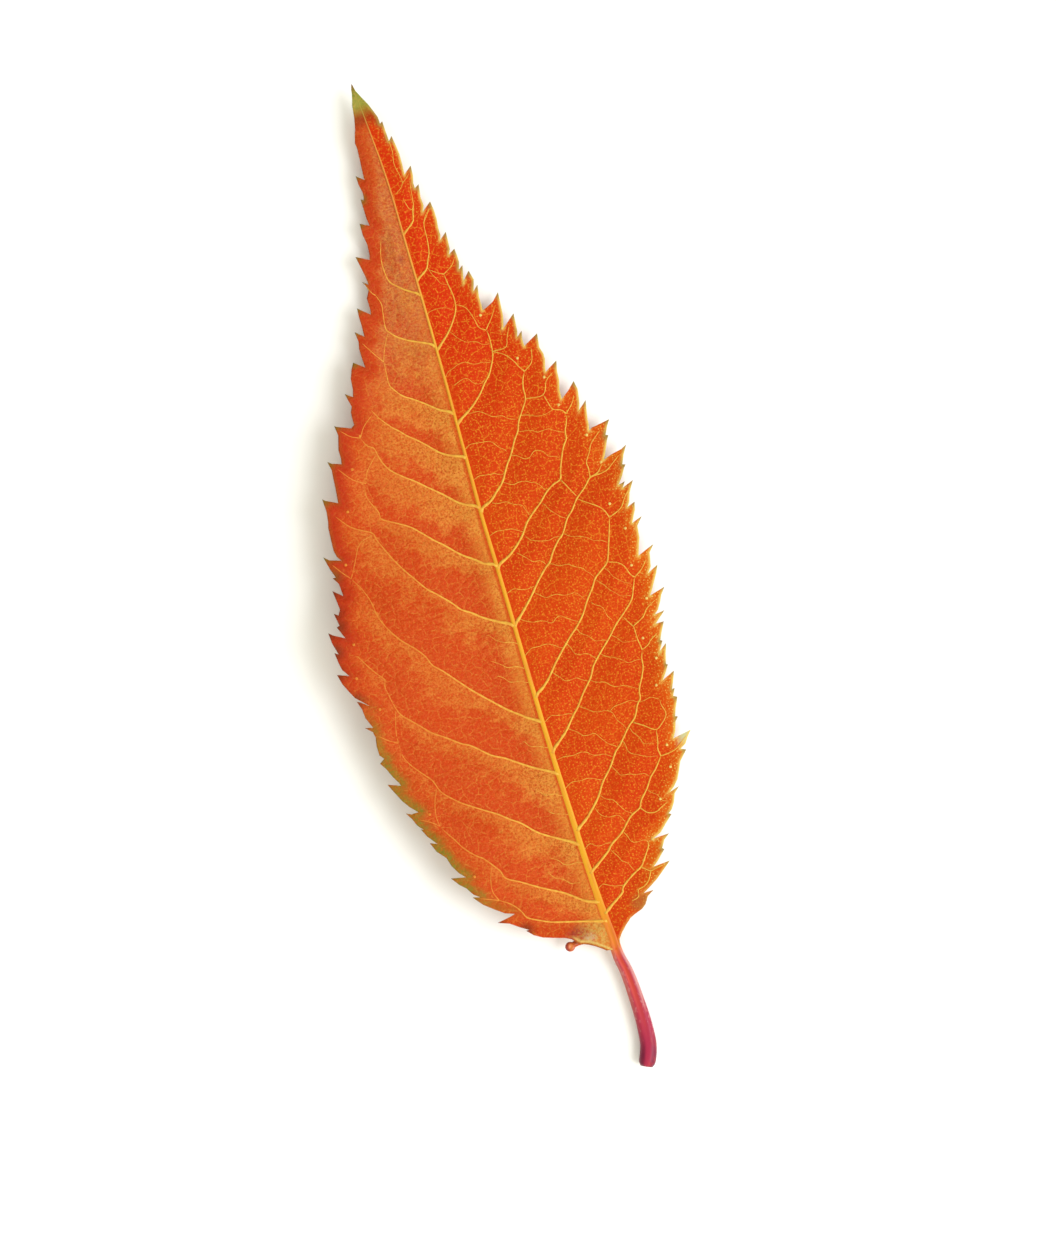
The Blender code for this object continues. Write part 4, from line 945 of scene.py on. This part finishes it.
class LeafTones(bpy.types.PropertyGroup):
    """Colours of the leaf."""

    red: colour_prop("Red", "Deep red-orange of the right half", lit(226, 64, 2))
    orange: colour_prop("Orange", "Lighter orange of the right half", lit(230, 73, 3))
    dark_red: colour_prop("Dark red", "Darkest blotches", lit(204, 50, 2))
    high_red: colour_prop("High red", "Purer red of the right half's upper part", lit(230, 46, 0))
    left_deep: colour_prop("Left deep", "Left half, tipward of each vein", lit(224, 70, 8))
    left_margin: colour_prop("Left margin", "Darker red along the left margin", lit(200, 48, 10))
    # Painted pinkish sheen beside the upper midrib.
    left_upper_sheen: colour_prop("Left blush", "Pinkish tan beside the upper midrib", lit(216, 120, 72))
    left_light: colour_prop("Left light", "Lightest grain of the left half", lit(250, 156, 70))
    left_dark: colour_prop("Left dark", "Darkest grain of the left half", lit(200, 70, 18))
    # Painted sheen of the left half, on the basal side of each vein.
    left_pale_sheen: colour_prop("Left pale", "Left half, basal side of each vein", lit(245, 142, 52))
    left_strip: colour_prop("Left strip", "Golden strip beside the midrib", lit(246, 168, 62))
    # Also the painted glint on the gland.
    left_tan: colour_prop("Left tan", "Greenish tan flecks of the left half", lit(246, 160, 66))
    meshwork: colour_prop("Meshwork", "Fine vein meshwork", lit(255, 168, 46))
    # Painted light through the thin right margin and along its teeth.
    edge_glow: colour_prop("Edge glow", "Orange light near the right margin", lit(246, 128, 6))
    lit_edge: colour_prop("Lit edge", "Thin yellow margin of the teeth", lit(255, 222, 112))
    pale_tooth: colour_prop("Pale tooth", "The one bleached tooth on the right", lit(226, 226, 172))
    olive: colour_prop("Olive", "Green left in the lower left margin", lit(124, 142, 40))
    base_gold: colour_prop("Base gold", "Golden mottling at the left base", lit(236, 180, 88))
    gland: colour_prop("Gland", "Orange-tan head of the nectar gland", lit(206, 88, 28))
    # Also the painted shade on the gland's side turned away.
    crimson: colour_prop("Crimson", "Crimson patch by the gland", lit(172, 54, 50))
    # Painted greyish sheen at the left base.
    sheen: colour_prop("Sheen", "Greyish waxy bloom at the left base", lit(236, 206, 166))
    rim_pale: colour_prop("Rim pale", "Cream line inside the left base rim", lit(250, 214, 120))
    rim_dark: colour_prop("Rim dark", "Orange-brown rim of the left base", lit(190, 96, 30))
    tooth_left: colour_prop("Tooth left", "Brown-red tips of the left teeth", lit(128, 56, 22))
    tooth_right: colour_prop("Tooth right", "Olive-grey tips of the right teeth", lit(150, 120, 62))
    green_tip: colour_prop("Green tip", "Green left at the leaf's tip", lit(170, 168, 70))
    vein_right: colour_prop("Vein right", "Veins on the right half", lit(255, 202, 80))
    vein_left: colour_prop("Vein left", "Veins on the left half", lit(255, 198, 80))
    vein_end: colour_prop("Vein end", "Pale beads at the vein ends", lit(255, 228, 124))
    midrib: colour_prop("Midrib", "Midrib along the blade", lit(255, 184, 44))
    midrib_base: colour_prop("Midrib base", "Midrib at the blade's base", lit(246, 130, 44))
    magenta: colour_prop("Magenta", "Sides of the stalk", lit(190, 50, 84))
    coral: colour_prop("Coral", "Channel of the stalk", lit(226, 82, 66))
    # Painted pink highlight of the stalk.
    stalk_shine: colour_prop("Stalk pink", "Pale flush on the stalk's sides", lit(232, 160, 156))
    scar: colour_prop("Scar", "End of the stalk", lit(140, 34, 70))


def sizes():
    """The leaf sizes that the scene holds."""
    return bpy.context.scene.leaf_sizes


def tones():
    """The leaf colours that the scene holds."""
    return bpy.context.scene.leaf_tones


def fan_coordinates(margin, side):
    """A margin point's row and reach. A row leaves the midrib at height e and rises by k(e) for each
    millimetre outward, so e = y - k(e) * reach, which repeated substitution solves. A running maximum then
    keeps the rows in order where a tooth overhangs its notch."""
    x, y = np.array(margin).T
    e = y.copy()
    for _ in range(80):
        reach = np.maximum((x - spine_x(e)) * side, 0.01)
        e = 0.5 * e + 0.5 * (y - np.interp(e, *FAN) * reach)
    order = np.arange(len(e)) * 0.01
    e = np.maximum.accumulate(e - order) + order
    return e, np.maximum((x - spine_x(e)) * side, 0.01)


def blade_grid():
    """Rows fan out from the midrib along the veins' slant and end on the toothed margin. The rows are the
    heights of both margins' corners, filled in to an even step. Columns are even shares of a row's reach as
    far as a band along the rim, where they close up."""
    halves = {side: fan_coordinates(m, side) for m, side in ((RIGHT_MARGIN, 1.0), (LEFT_MARGIN, -1.0))}
    corners = np.unique(np.round(np.concatenate([h[0] for h in halves.values()]), 3))
    corners = corners[(corners >= 0.0) & (corners <= BLADE_END)]
    count = np.maximum(1, np.ceil(np.diff(corners) / ROW_STEP).astype(int))
    spread = np.repeat(np.diff(corners) / count, count)
    rows = np.concatenate((corners[:1], corners[0] + np.cumsum(spread)))
    xs, ys = [], []
    for side in (-1.0, 1.0):
        wide = np.interp(rows, *halves[side])[:, None]
        squeeze = np.minimum(1.0, wide / 3.0)
        inner = np.linspace(0.0, 1.0, INNER_COLUMNS) * (wide - RIM_BAND * squeeze)
        reach = np.hstack((inner, wide - RIM_COLUMNS * squeeze))
        if side < 0.0:
            reach = reach[:, :0:-1]
        xs.append(spine_x(rows)[:, None] + side * reach)
        ys.append(rows[:, None] + reach * np.interp(rows, *FAN)[:, None])
    return np.hstack(xs), np.hstack(ys)


def tooth_tips(x, y):
    """Distance to the nearest tooth tip: a margin point where the outline turns sharply inward."""
    best = np.full(x.shape, 9.0)
    for margin, inward in ((RIGHT_MARGIN, 1.0), (LEFT_MARGIN, -1.0)):
        line = np.array(margin)
        run = np.diff(line, axis=0)
        run /= np.linalg.norm(run, axis=1)[:, None]
        turn = (run[:-1, 0] * run[1:, 1] - run[:-1, 1] * run[1:, 0]) * inward
        sharp = (turn > 0.0) & ((run[:-1] * run[1:]).sum(1) < 0.35)
        for px, py in line[1:-1][sharp]:
            best = np.minimum(best, np.hypot(x - px, y - py))
    return best


def long_flanks():
    """The spans of both margins that climb towards the tip, which are the teeth's long flanks."""
    flanks = []
    for margin in (RIGHT_MARGIN, LEFT_MARGIN):
        line = np.array(margin)
        run = np.diff(line, axis=0)
        climbing = run[:, 1] > 0.35 * np.hypot(*run.T)
        flanks += [line[k:k + 2] for k in np.flatnonzero(climbing)]
    return flanks


def spot(x, y, centre, reach, full=1.0, squash=(1.0, 1.0)):
    """A soft round mark: an ease of full less the distance to the centre over the reach."""
    away = np.hypot((x - centre[0]) * squash[0], (y - centre[1]) * squash[1])
    return smooth(full - away / reach)


def tooth_mask(x, y, edge, right, bleach):
    """Brown of the teeth: an ease of the distance to a tip, with a dusky line along the left margin and the
    one tooth by the base that is brown all through."""
    left_reach = 1.3 + 0.2 * smooth((y - 28.0) / 8.0) - 0.5 * smooth((y - 52.0) / 8.0)
    right_reach = 0.7 + 0.35 * smooth((y - 40.0) / 8.0)
    tips = smooth(1.0 - tooth_tips(x, y) / np.where(right, right_reach, left_reach)) * (1.0 - bleach)
    dusky = 0.35 * smooth((y - 28.0) / 4.0) * (1.0 - 0.6 * smooth((y - 54.0) / 8.0))
    dusky = np.where(right, 0.0, dusky * smooth(1.0 - edge / 0.5))
    browned = 0.44 * spot(x, y, BROWNED_TOOTH, 0.8, 1.6, (0.8, 1.0))
    return np.maximum(np.maximum(tips, dusky), browned)


def blade_masks(x, y, edge):
    """Where each colour of the blade goes, as shares from 0 to 1, with the distances from the midrib, along
    the blade and from the margin, and the place between two veins."""
    across = x - spine_x(y)
    right = across > 0
    flank = np.minimum(*distance_to(x, y, long_flanks()))
    to_upper, to_lower = distance_to(x, y, FINE_VEINS)
    basal = np.where(right | (y > 2.6), 0.0, smooth((x + 3.6) / 0.4))
    bleach = 0.95 * spot(x, y, PALE_TOOTH, 0.8, 1.75, (0.9, 1.0))
    crimson = np.maximum(spot(x, y, CRIMSON_SPOT, 1.1, 1.15, (0.7, 1.0)), spot(x, y, SCUFF, 0.55))
    low = smooth((y - 5.0) / 5.0) * smooth((33.0 - y) / 8.0)
    olive = 0.35 * smooth((1.6 - edge) / 1.4) + 0.65 * smooth((1.0 - edge) / 0.65)
    return {
        "across": across,
        "along": y,
        "panel": to_lower / (to_lower + to_upper + 0.02),
        "edge": edge,
        # Where light through the thin right margin and its teeth is painted.
        "lit": smooth(1.0 - flank / 0.34) * np.where(right, 0.4 + 0.6 * smooth((y - 4.0) / 5.0), 0.0),
        "glow": smooth(1.0 - edge / 1.4) * np.where(right, smooth((y - 2.5) / 4.0), 0.0),
        "bleach": bleach,
        "olive": np.where(right, 0.0, low * np.minimum(olive, 1.0)),
        "gold": np.where(right, 0.0, spot(x, y, GOLD_SPOT, 1.5, 1.5, (0.8, 1.0))),
        # Where the sheen at the left base is painted.
        "sheen": np.where(right, 0.0, spot(x, y, SHEEN_SPOT, 0.95, 1.0, (1.0, 1.3))),
        "crimson": crimson,
        "rim_dark": basal * smooth(1.3 - edge / 0.14),
        "rim_pale": basal * smooth(1.0 - np.abs(edge - 0.3) / 0.17),
        "tooth": tooth_mask(x, y, edge, right, bleach),
        "tip": smooth((y - 86.6) / 1.6),
    }


def blade_shell(x, y, top, under):
    """Upper and lower face over the same grid, the lower one turned over, and a wall of quads between their
    outer rings."""
    rows, columns = x.shape
    size = x.size
    points = np.concatenate((to_frame(x, y, top).reshape(-1, 3), to_frame(x, y, under).reshape(-1, 3)))
    upper = grid_faces(rows, columns)
    lower = upper[:, ::-1] + size
    ring = np.concatenate((np.arange(columns), np.arange(1, rows) * columns + columns - 1,
                           (rows - 1) * columns + np.arange(columns - 2, -1, -1),
                           np.arange(rows - 2, 0, -1) * columns))
    following = np.roll(ring, -1)
    wall = np.column_stack((following, ring, ring + size, following + size))
    return points, np.vstack((upper, lower, wall))


class LEAF_OT_blade(bpy.types.Operator):
    """Build the serrate blade"""

    bl_idname = "leaf.blade"
    bl_label = "Blade"

    def execute(self, context):
        """The upper face over the lower one, closer by an ease of the distance to the margin."""
        s = sizes()
        x, y = blade_grid()
        edge = np.minimum(*distance_to(x, y, (RIGHT_MARGIN, LEFT_MARGIN)))
        top = top_height(x, y, s.quilting)
        thin = s.blade_thickness * (0.2 + 0.8 * smooth(edge / 0.8))
        points, faces = blade_shell(x, y, top, top - thin)
        masks = {key: np.tile(values.ravel(), 2) for key, values in blade_masks(x, y, edge).items()}
        make_piece("blade", points, faces, blade_material(tones()), masks)
        return {"FINISHED"}


def rib_reach(y, half, on_blade):
    """How far the rib reaches up and down from its middle: nearly round as a stalk, standing a little proud
    of both faces on the blade, and tapering to the tip."""
    rounded = half * 0.92 * (1.0 - on_blade)
    up = (rounded + (BLADE_DEPTH - MIDRIB_SEAT + 0.13) * on_blade) * np.interp(y, (82.0, 89.4), (1.0, 0.62))
    down = rounded + np.interp(y, (0.0, 60.0, 82.0, 89.4), (0.5, 0.44, 0.36, 0.02)) * on_blade
    return up, down


class LEAF_OT_midrib(bpy.types.Operator):
    """Build the stalk and the midrib it becomes"""

    bl_idname = "leaf.midrib"
    bl_label = "Stalk and midrib"

    def execute(self, context):
        """A tube along the spine that blends from a round stalk to a rib with an arched top where the blade
        begins. A Gaussian groove along the stalk's upper side makes its channel."""
        path = spline(SPINE, 0.3)
        x, y, half = path.T
        on_blade = smooth((y + 1.5) / 3.5)
        lying = np.interp(y, (-12.5, -6.0, 0.0), (0.84, 1.02, 1.15))
        centre = lying * (1.0 - on_blade) + (blade_floor(x, y) + MIDRIB_SEAT) * on_blade
        up, down = rib_reach(y, half, on_blade)
        under_half = np.interp(y, (-2.0, 2.0, 20.0, 60.0, 90.0), (0.68, 0.55, 0.4, 0.28, 0.12))
        under_half = np.where(y < 0.0, half, under_half)
        turn = around(STALK_SIDES)
        lane = np.cos(turn)[None, :]
        rise = np.sin(turn)[None, :]
        width = under_half[:, None] + (half - under_half)[:, None] * smooth(0.5 + 0.5 * rise)
        arch = np.abs(rise) ** (1.0 - 0.45 * on_blade[:, None])
        tall = np.where(rise > 0, arch * up[:, None], rise * down[:, None])
        depth = half * np.interp(y, (-12.0, -8.0, -2.0, 1.5, 6.0), (0.0, 0.16, 0.3, 0.16, 0.04))
        tall = tall - np.exp(-(lane / 0.36) ** 2) * (rise > 0) * depth[:, None]
        close = np.ones_like(y)
        close[:3] = (0.72, 0.93, 0.99)
        tall = tall * close[:, None]
        side = sideways(path)
        px = x[:, None] + side[:, 0:1] * lane * width * close[:, None]
        py = y[:, None] + side[:, 1:2] * lane * width * close[:, None]
        points = to_frame(px, py, np.maximum(centre[:, None] + tall, 0.0))
        ends = (points[0].mean(0) + (0.0, 0.00012, 0.0), points[-1].mean(0))
        points, faces = join_parts([closed_tube(points, ends)])
        grid = np.ones((len(y), STALK_SIDES))
        masks = {"along": np.append((y[:, None] * grid).ravel(), (y[0], y[-1])),
                 "lane": np.append((lane * grid).ravel(), (0.0, 0.0))}
        make_piece("stalk_midrib", points, faces[:, ::-1], stalk_material(tones()), masks)
        return {"FINISHED"}


def vein_parts(lines, start, end, step, sides, above, below, flare=0.0, wander=0.0):
    """Tapered tubes that follow the blade's upper face: half-width from start to end along each line, less
    near the leaf's tip, with two sines along it for its knots. Flare is the share added to the half-width
    at the root, which dies away along the line. Wander is how far two more sines shift the middle of the
    line, in millimetres."""
    parts = []
    height = sizes().quilting
    for line in lines:
        root_x, root_y = line[0]
        path = spline(line, step)
        share = np.linspace(0.0, 1.0, len(path))
        reach = np.arange(len(path)) * step
        kink = wander * np.minimum(1.0, 5.0 * share * (1.0 - share))
        path = path + kink[:, None] * np.column_stack((0.6 * np.sin(reach * 4.3 + root_y),
                                                       np.sin(reach * 2.7 + root_x * 3.0)))
        half = (start + (end - start) * share ** 0.8) * np.minimum(1.0, (1.0 - share) * 12.0 + 0.35)
        half = half * np.interp(path[:, 1], (50.0, 72.0, 88.0), (1.0, 0.68, 0.45))
        half = half * (1.0 + flare * np.exp(-reach / 1.1))
        half = half * (1.0 + 0.12 * np.sin(reach * 6.1 + root_y) + 0.1 * np.sin(reach * 11.3 + root_x))
        path = np.column_stack((path, top_height(path[:, 0], path[:, 1], height)))
        parts.append(swept(path, half, half * above, half * below, sides))
    return parts


class LEAF_OT_veins(bpy.types.Operator):
    """Build the secondary veins and their forks"""

    bl_idname = "leaf.veins"
    bl_label = "Secondary veins"

    def execute(self, context):
        """Tubes whose half-widths are shares of the vein width, by side and by being a fork or not."""
        s = sizes()
        t = tones()
        parts = []
        for line in MAIN_VEINS + FORKS:
            on_right = line[-1][0] > 0.0
            broad = s.vein_width * (1.0 if on_right else 0.98)
            if line in FORKS:
                start, end, flare = (0.58, 0.38, 0.0) if on_right else (0.45, 0.3, 0.0)
            else:
                start, end, flare = (1.0, 0.62, 0.9) if on_right else (1.0, 0.44, 0.9)
            parts += vein_parts((line,), broad * start, broad * end, 0.28, 10, 0.65, 1.0, flare)
        points, faces = join_parts(parts)
        make_piece("secondary_veins", points, faces[:, ::-1],
                   vein_material("secondary vein", t, t.vein_right, 0.0))
        return {"FINISHED"}


class LEAF_OT_cross_veins(bpy.types.Operator):
    """Build the cross veins between the secondaries"""

    bl_idname = "leaf.cross_veins"
    bl_label = "Cross veins"

    def execute(self, context):
        """Thin tubes that wander a little about their lines."""
        s = sizes()
        t = tones()
        half = s.cross_vein_width
        parts = vein_parts(CROSS_VEINS, half * 1.05, half * 0.8, 0.25, 6, 0.9, 1.0, wander=0.13)
        points, faces = join_parts(parts)
        make_piece("cross_veins", points, faces[:, ::-1],
                   vein_material("cross vein", t, t.vein_right, 0.2, 0.42))
        return {"FINISHED"}


def bead_parts(centres, radius, sides=10, rings=5):
    """Flat beads half sunk in the blade: each ring's radius is the cosine, and its height the sine, of
    the angle up from the widest ring."""
    lift = np.linspace(-0.5 * math.pi, 0.5 * math.pi, rings + 2)[1:-1, None]
    turn = around(sides)
    flat = radius * 0.35
    parts = []
    for cx, cy in centres:
        x = cx + radius * np.cos(lift) * np.cos(turn)
        y = cy + radius * np.cos(lift) * np.sin(turn)
        level = float(top_height(np.array([cx]), np.array([cy]), sizes().quilting)[0])
        z = np.broadcast_to(level + flat * np.sin(lift), x.shape)
        ends = to_frame(np.array([cx, cx]), np.array([cy, cy]), level + np.array([-flat, flat]))
        parts.append(closed_tube(to_frame(x, y, z), ends))
    return parts


class LEAF_OT_vein_ends(bpy.types.Operator):
    """Build the pale beads where veins end by the notches"""

    bl_idname = "leaf.vein_ends"
    bl_label = "Vein end beads"

    def execute(self, context):
        """One bead at each vein end."""
        t = tones()
        points, faces = join_parts(bead_parts(VEIN_ENDS, BEAD_RADIUS))
        make_piece("vein_end_beads", points, faces, vein_material("vein end", t, t.vein_end, 0.0))
        return {"FINISHED"}


class LEAF_OT_under_ribs(bpy.types.Operator):
    """Build the ribs of the secondary veins on the underside"""

    bl_idname = "leaf.under_ribs"
    bl_label = "Underside ribs"

    def execute(self, context):
        """Tubes along the veins, low in the blade, whose half-width falls evenly along each line and which
        reach down by half as much again, or to just above the floor."""
        s = sizes()
        t = tones()
        parts = []
        for line in MAIN_VEINS + FORKS:
            path = spline(line, 0.45)
            share = np.linspace(0.0, 1.0, len(path))
            main = 1.0 if line in MAIN_VEINS else 0.45
            half = RIB_HALF_WIDTH * main * (1.0 - 0.6 * share) * np.minimum(1.0, (1.0 - share) * 12.0 + 0.3)
            z = top_height(path[:, 0], path[:, 1], s.quilting) - s.blade_thickness * 0.8
            deep = np.minimum(half * 1.5, np.maximum(z - 0.005, 0.0))
            parts.append(swept(np.column_stack((path, z)), half, half * 0.2, deep, 8))
        points, faces = join_parts(parts)
        make_piece("underside_ribs", points, faces[:, ::-1],
                   vein_material("underside rib", t, t.vein_left, 0.2))
        return {"FINISHED"}


def gland_rings(radius):
    """The gland as rings along its axis: a flat neck that flares to its root, then a ball whose half-width
    is the root of radius squared less the squared distance to its middle, dished on top. Returns the
    plan places, the heights and each ring's distance along."""
    root = np.array(GLAND_ROOT)
    head = np.array(GLAND_HEAD)
    reach = np.linalg.norm(head - root)
    run = (head - root) / reach
    side = np.array((run[1], -run[0]))
    t = np.concatenate((np.linspace(0.0, reach - radius * 0.8, 12),
                        reach - radius * np.cos(np.linspace(0.65, math.pi * 0.985, 26))))
    ball = np.sqrt(np.maximum(radius ** 2 - (t - reach) ** 2, 0.0))
    neck = 0.31 + 0.14 * smooth((0.75 - t) / 0.75)
    half = np.where(t < reach - radius * 0.8, neck, np.maximum(ball, np.where(t < reach, neck, 0.0)))
    thick = np.where(t < reach - radius * 0.6, 0.22, half * 0.86)
    seat, outer = top_height(*np.array((GLAND_ROOT, GLAND_LEVEL_AT)).T, 0.0) - (GLAND_SEAT, GLAND_DROP)
    level = seat + (outer - seat) * smooth(t / reach)
    turn = around(GLAND_SIDES)
    wide = half[:, None] * np.cos(turn)[None, :]
    tall = thick[:, None] * np.sin(turn)[None, :]
    x = root[0] + run[0] * t[:, None] + side[0] * wide
    y = root[1] + run[1] * t[:, None] + side[1] * wide
    from_head = np.hypot(x - head[0] - 0.06, y - head[1])
    dish = 0.16 * np.exp(-(from_head / (radius * 0.5)) ** 2) * (tall > 0.0)
    return x, y, level[:, None] + tall - dish, t - reach


class LEAF_OT_gland(bpy.types.Operator):
    """Build the nectar gland on its short neck"""

    bl_idname = "leaf.gland"
    bl_label = "Nectar gland"

    def execute(self, context):
        """A closed tube through the gland's rings. Its masks ease across the head for the shaded side, and
        fall off as a Gaussian round the middle of the dish for the glint."""
        radius = sizes().gland_radius
        x, y, z, beyond = gland_rings(radius)
        points = to_frame(x, y, z)
        points, faces = join_parts([closed_tube(points, (points[0].mean(0), points[-1].mean(0)))])
        shaded = smooth((GLAND_HEAD[0] - x + 0.05) / radius) + 0.35 * smooth(beyond[:, None] / radius)
        shaded = np.append(np.minimum(shaded, 1.0).ravel(), (0.0, 1.0))
        glint = np.exp(-((x - GLAND_HEAD[0] - 0.12) ** 2 + (y - GLAND_HEAD[1]) ** 2) / (0.5 * radius) ** 2)
        glint = np.append(glint.ravel(), (0.0, 0.0))
        make_piece("nectar_gland", points, faces[:, ::-1], gland_material(tones()),
                   {"shaded": shaded, "glint": glint})
        return {"FINISHED"}


def photo_tilt():
    """Angle between the photo's up and the leaf's midrib, from where the photo shows the base and tip."""
    return math.atan2(-PHOTO_TIP_OFFSET[0], PHOTO_TIP_OFFSET[1])


def turned(right, up, high=0.0):
    """The photo's right and up, and height, as a place or direction in the part's frame."""
    c, s = math.cos(photo_tilt()), math.sin(photo_tilt())
    return Vector((right * c + up * s, -right * s + up * c, high))


def area_light(name, offset, size, watts, colour):
    """A soft square light at an offset from the leaf's middle, turned to face it."""
    data = bpy.data.lights.new(name, "AREA")
    data.size = size
    data.energy = watts
    data.color = colour
    lamp = bpy.data.objects.new(name, data)
    lamp.location = offset
    lamp.rotation_euler = (-offset).to_track_quat("-Z", "Y").to_euler()
    bpy.context.scene.collection.objects.link(lamp)
    return lamp


def photo_camera(scene):
    """A long lens straight above the photo's middle, as far off as makes the photo's height fill it."""
    dx = (PHOTO_SIZE[0] / 2.0 - PHOTO_BASE[0]) / PX_PER_MM
    dy = (PHOTO_BASE[1] - PHOTO_SIZE[1] / 2.0) / PX_PER_MM
    middle = turned(dx, dy)
    data = bpy.data.cameras.new("camera")
    data.lens = 100.0
    data.sensor_width = 36.0
    data.clip_start = 0.01
    away = PHOTO_SIZE[1] / PX_PER_MM * MM * data.lens / data.sensor_width + 0.001
    camera = bpy.data.objects.new("camera", data)
    camera.location = ((middle.x - FRAME_CENTRE[0]) * MM, (middle.y - FRAME_CENTRE[1]) * MM, away)
    camera.rotation_euler = (0.0, 0.0, -photo_tilt())
    scene.collection.objects.link(camera)
    scene.camera = camera


def pale_floor(scene):
    """A square white floor under the leaf."""
    half = FLOOR_HALF
    mesh = bpy.data.meshes.new("floor")
    mesh.from_pydata([(-half, -half, 0.0), (half, -half, 0.0), (half, half, 0.0), (-half, half, 0.0)],
                     [], [(0, 1, 2, 3)])
    floor = bpy.data.objects.new("floor", mesh)
    scene.collection.objects.link(floor)
    white, n, shader = new_material("pale floor")
    n.put(shader, "Base Color", (0.92, 0.92, 0.915, 1.0))
    n.put(shader, "Roughness", 0.9)
    shader.inputs["Specular IOR Level"].default_value = 0.1
    mesh.materials.append(white)
    return floor


def studio_world(scene):
    """A soft, slightly warm glow all round."""
    world = bpy.data.worlds.new("studio")
    world.use_nodes = True
    glow = world.node_tree.nodes["Background"].inputs
    glow["Color"].default_value = (1.0, 0.97, 0.9, 1.0)
    glow["Strength"].default_value = 0.4
    scene.world = world


class LEAF_OT_stage(bpy.types.Operator):
    """Set out the pale floor, the soft lights and the camera"""

    bl_idname = "leaf.stage"
    bl_label = "Stage"

    def execute(self, context):
        """One key light makes the highlights and the shadow, and three fills soften it."""
        scene = context.scene
        photo_camera(scene)
        pale_floor(scene)
        area_light("key", turned(*KEY_OFFSET), KEY_SIZE, KEY_WATTS, KEY_COLOUR)
        for name, offset, watts in FILLS:
            fill = area_light(name, turned(*offset), FILL_SIZE, watts, FILL_COLOUR)
            fill.visible_glossy = False
        studio_world(scene)
        scene.view_settings.view_transform = "Standard"
        return {"FINISHED"}


class LEAF_PT_panel(bpy.types.Panel):
    """Lists the leaf's operators and values"""

    bl_label = "Autumn leaf"
    bl_idname = "LEAF_PT_panel"
    bl_space_type = "VIEW_3D"
    bl_region_type = "UI"
    bl_category = "Leaf"

    def draw(self, context):
        """A button for each operator, then a field for each value."""
        for kind in PIECES:
            self.layout.operator(kind.bl_idname)
        for group in (context.scene.leaf_sizes, context.scene.leaf_tones):
            for key in group.__annotations__:
                self.layout.prop(group, key)


PIECES = (LEAF_OT_blade, LEAF_OT_midrib, LEAF_OT_veins, LEAF_OT_cross_veins, LEAF_OT_vein_ends,
          LEAF_OT_under_ribs, LEAF_OT_gland, LEAF_OT_stage)
CLASSES = (LeafSizes, LeafTones) + PIECES + (LEAF_PT_panel,)


def register():
    """Registers the classes and the scene's sizes and colours."""
    for kind in CLASSES:
        bpy.utils.register_class(kind)
    bpy.types.Scene.leaf_sizes = bpy.props.PointerProperty(type=LeafSizes)
    bpy.types.Scene.leaf_tones = bpy.props.PointerProperty(type=LeafTones)


def unregister():
    """Takes away what register added."""
    del bpy.types.Scene.leaf_tones
    del bpy.types.Scene.leaf_sizes
    for kind in reversed(CLASSES):
        bpy.utils.unregister_class(kind)


def main():
    register()
    bpy.ops.leaf.blade()
    bpy.ops.leaf.midrib()
    bpy.ops.leaf.veins()
    bpy.ops.leaf.cross_veins()
    bpy.ops.leaf.vein_ends()
    bpy.ops.leaf.under_ribs()
    bpy.ops.leaf.gland()
    bpy.ops.leaf.stage()
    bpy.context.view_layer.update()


if __name__ == "__main__":
    main()
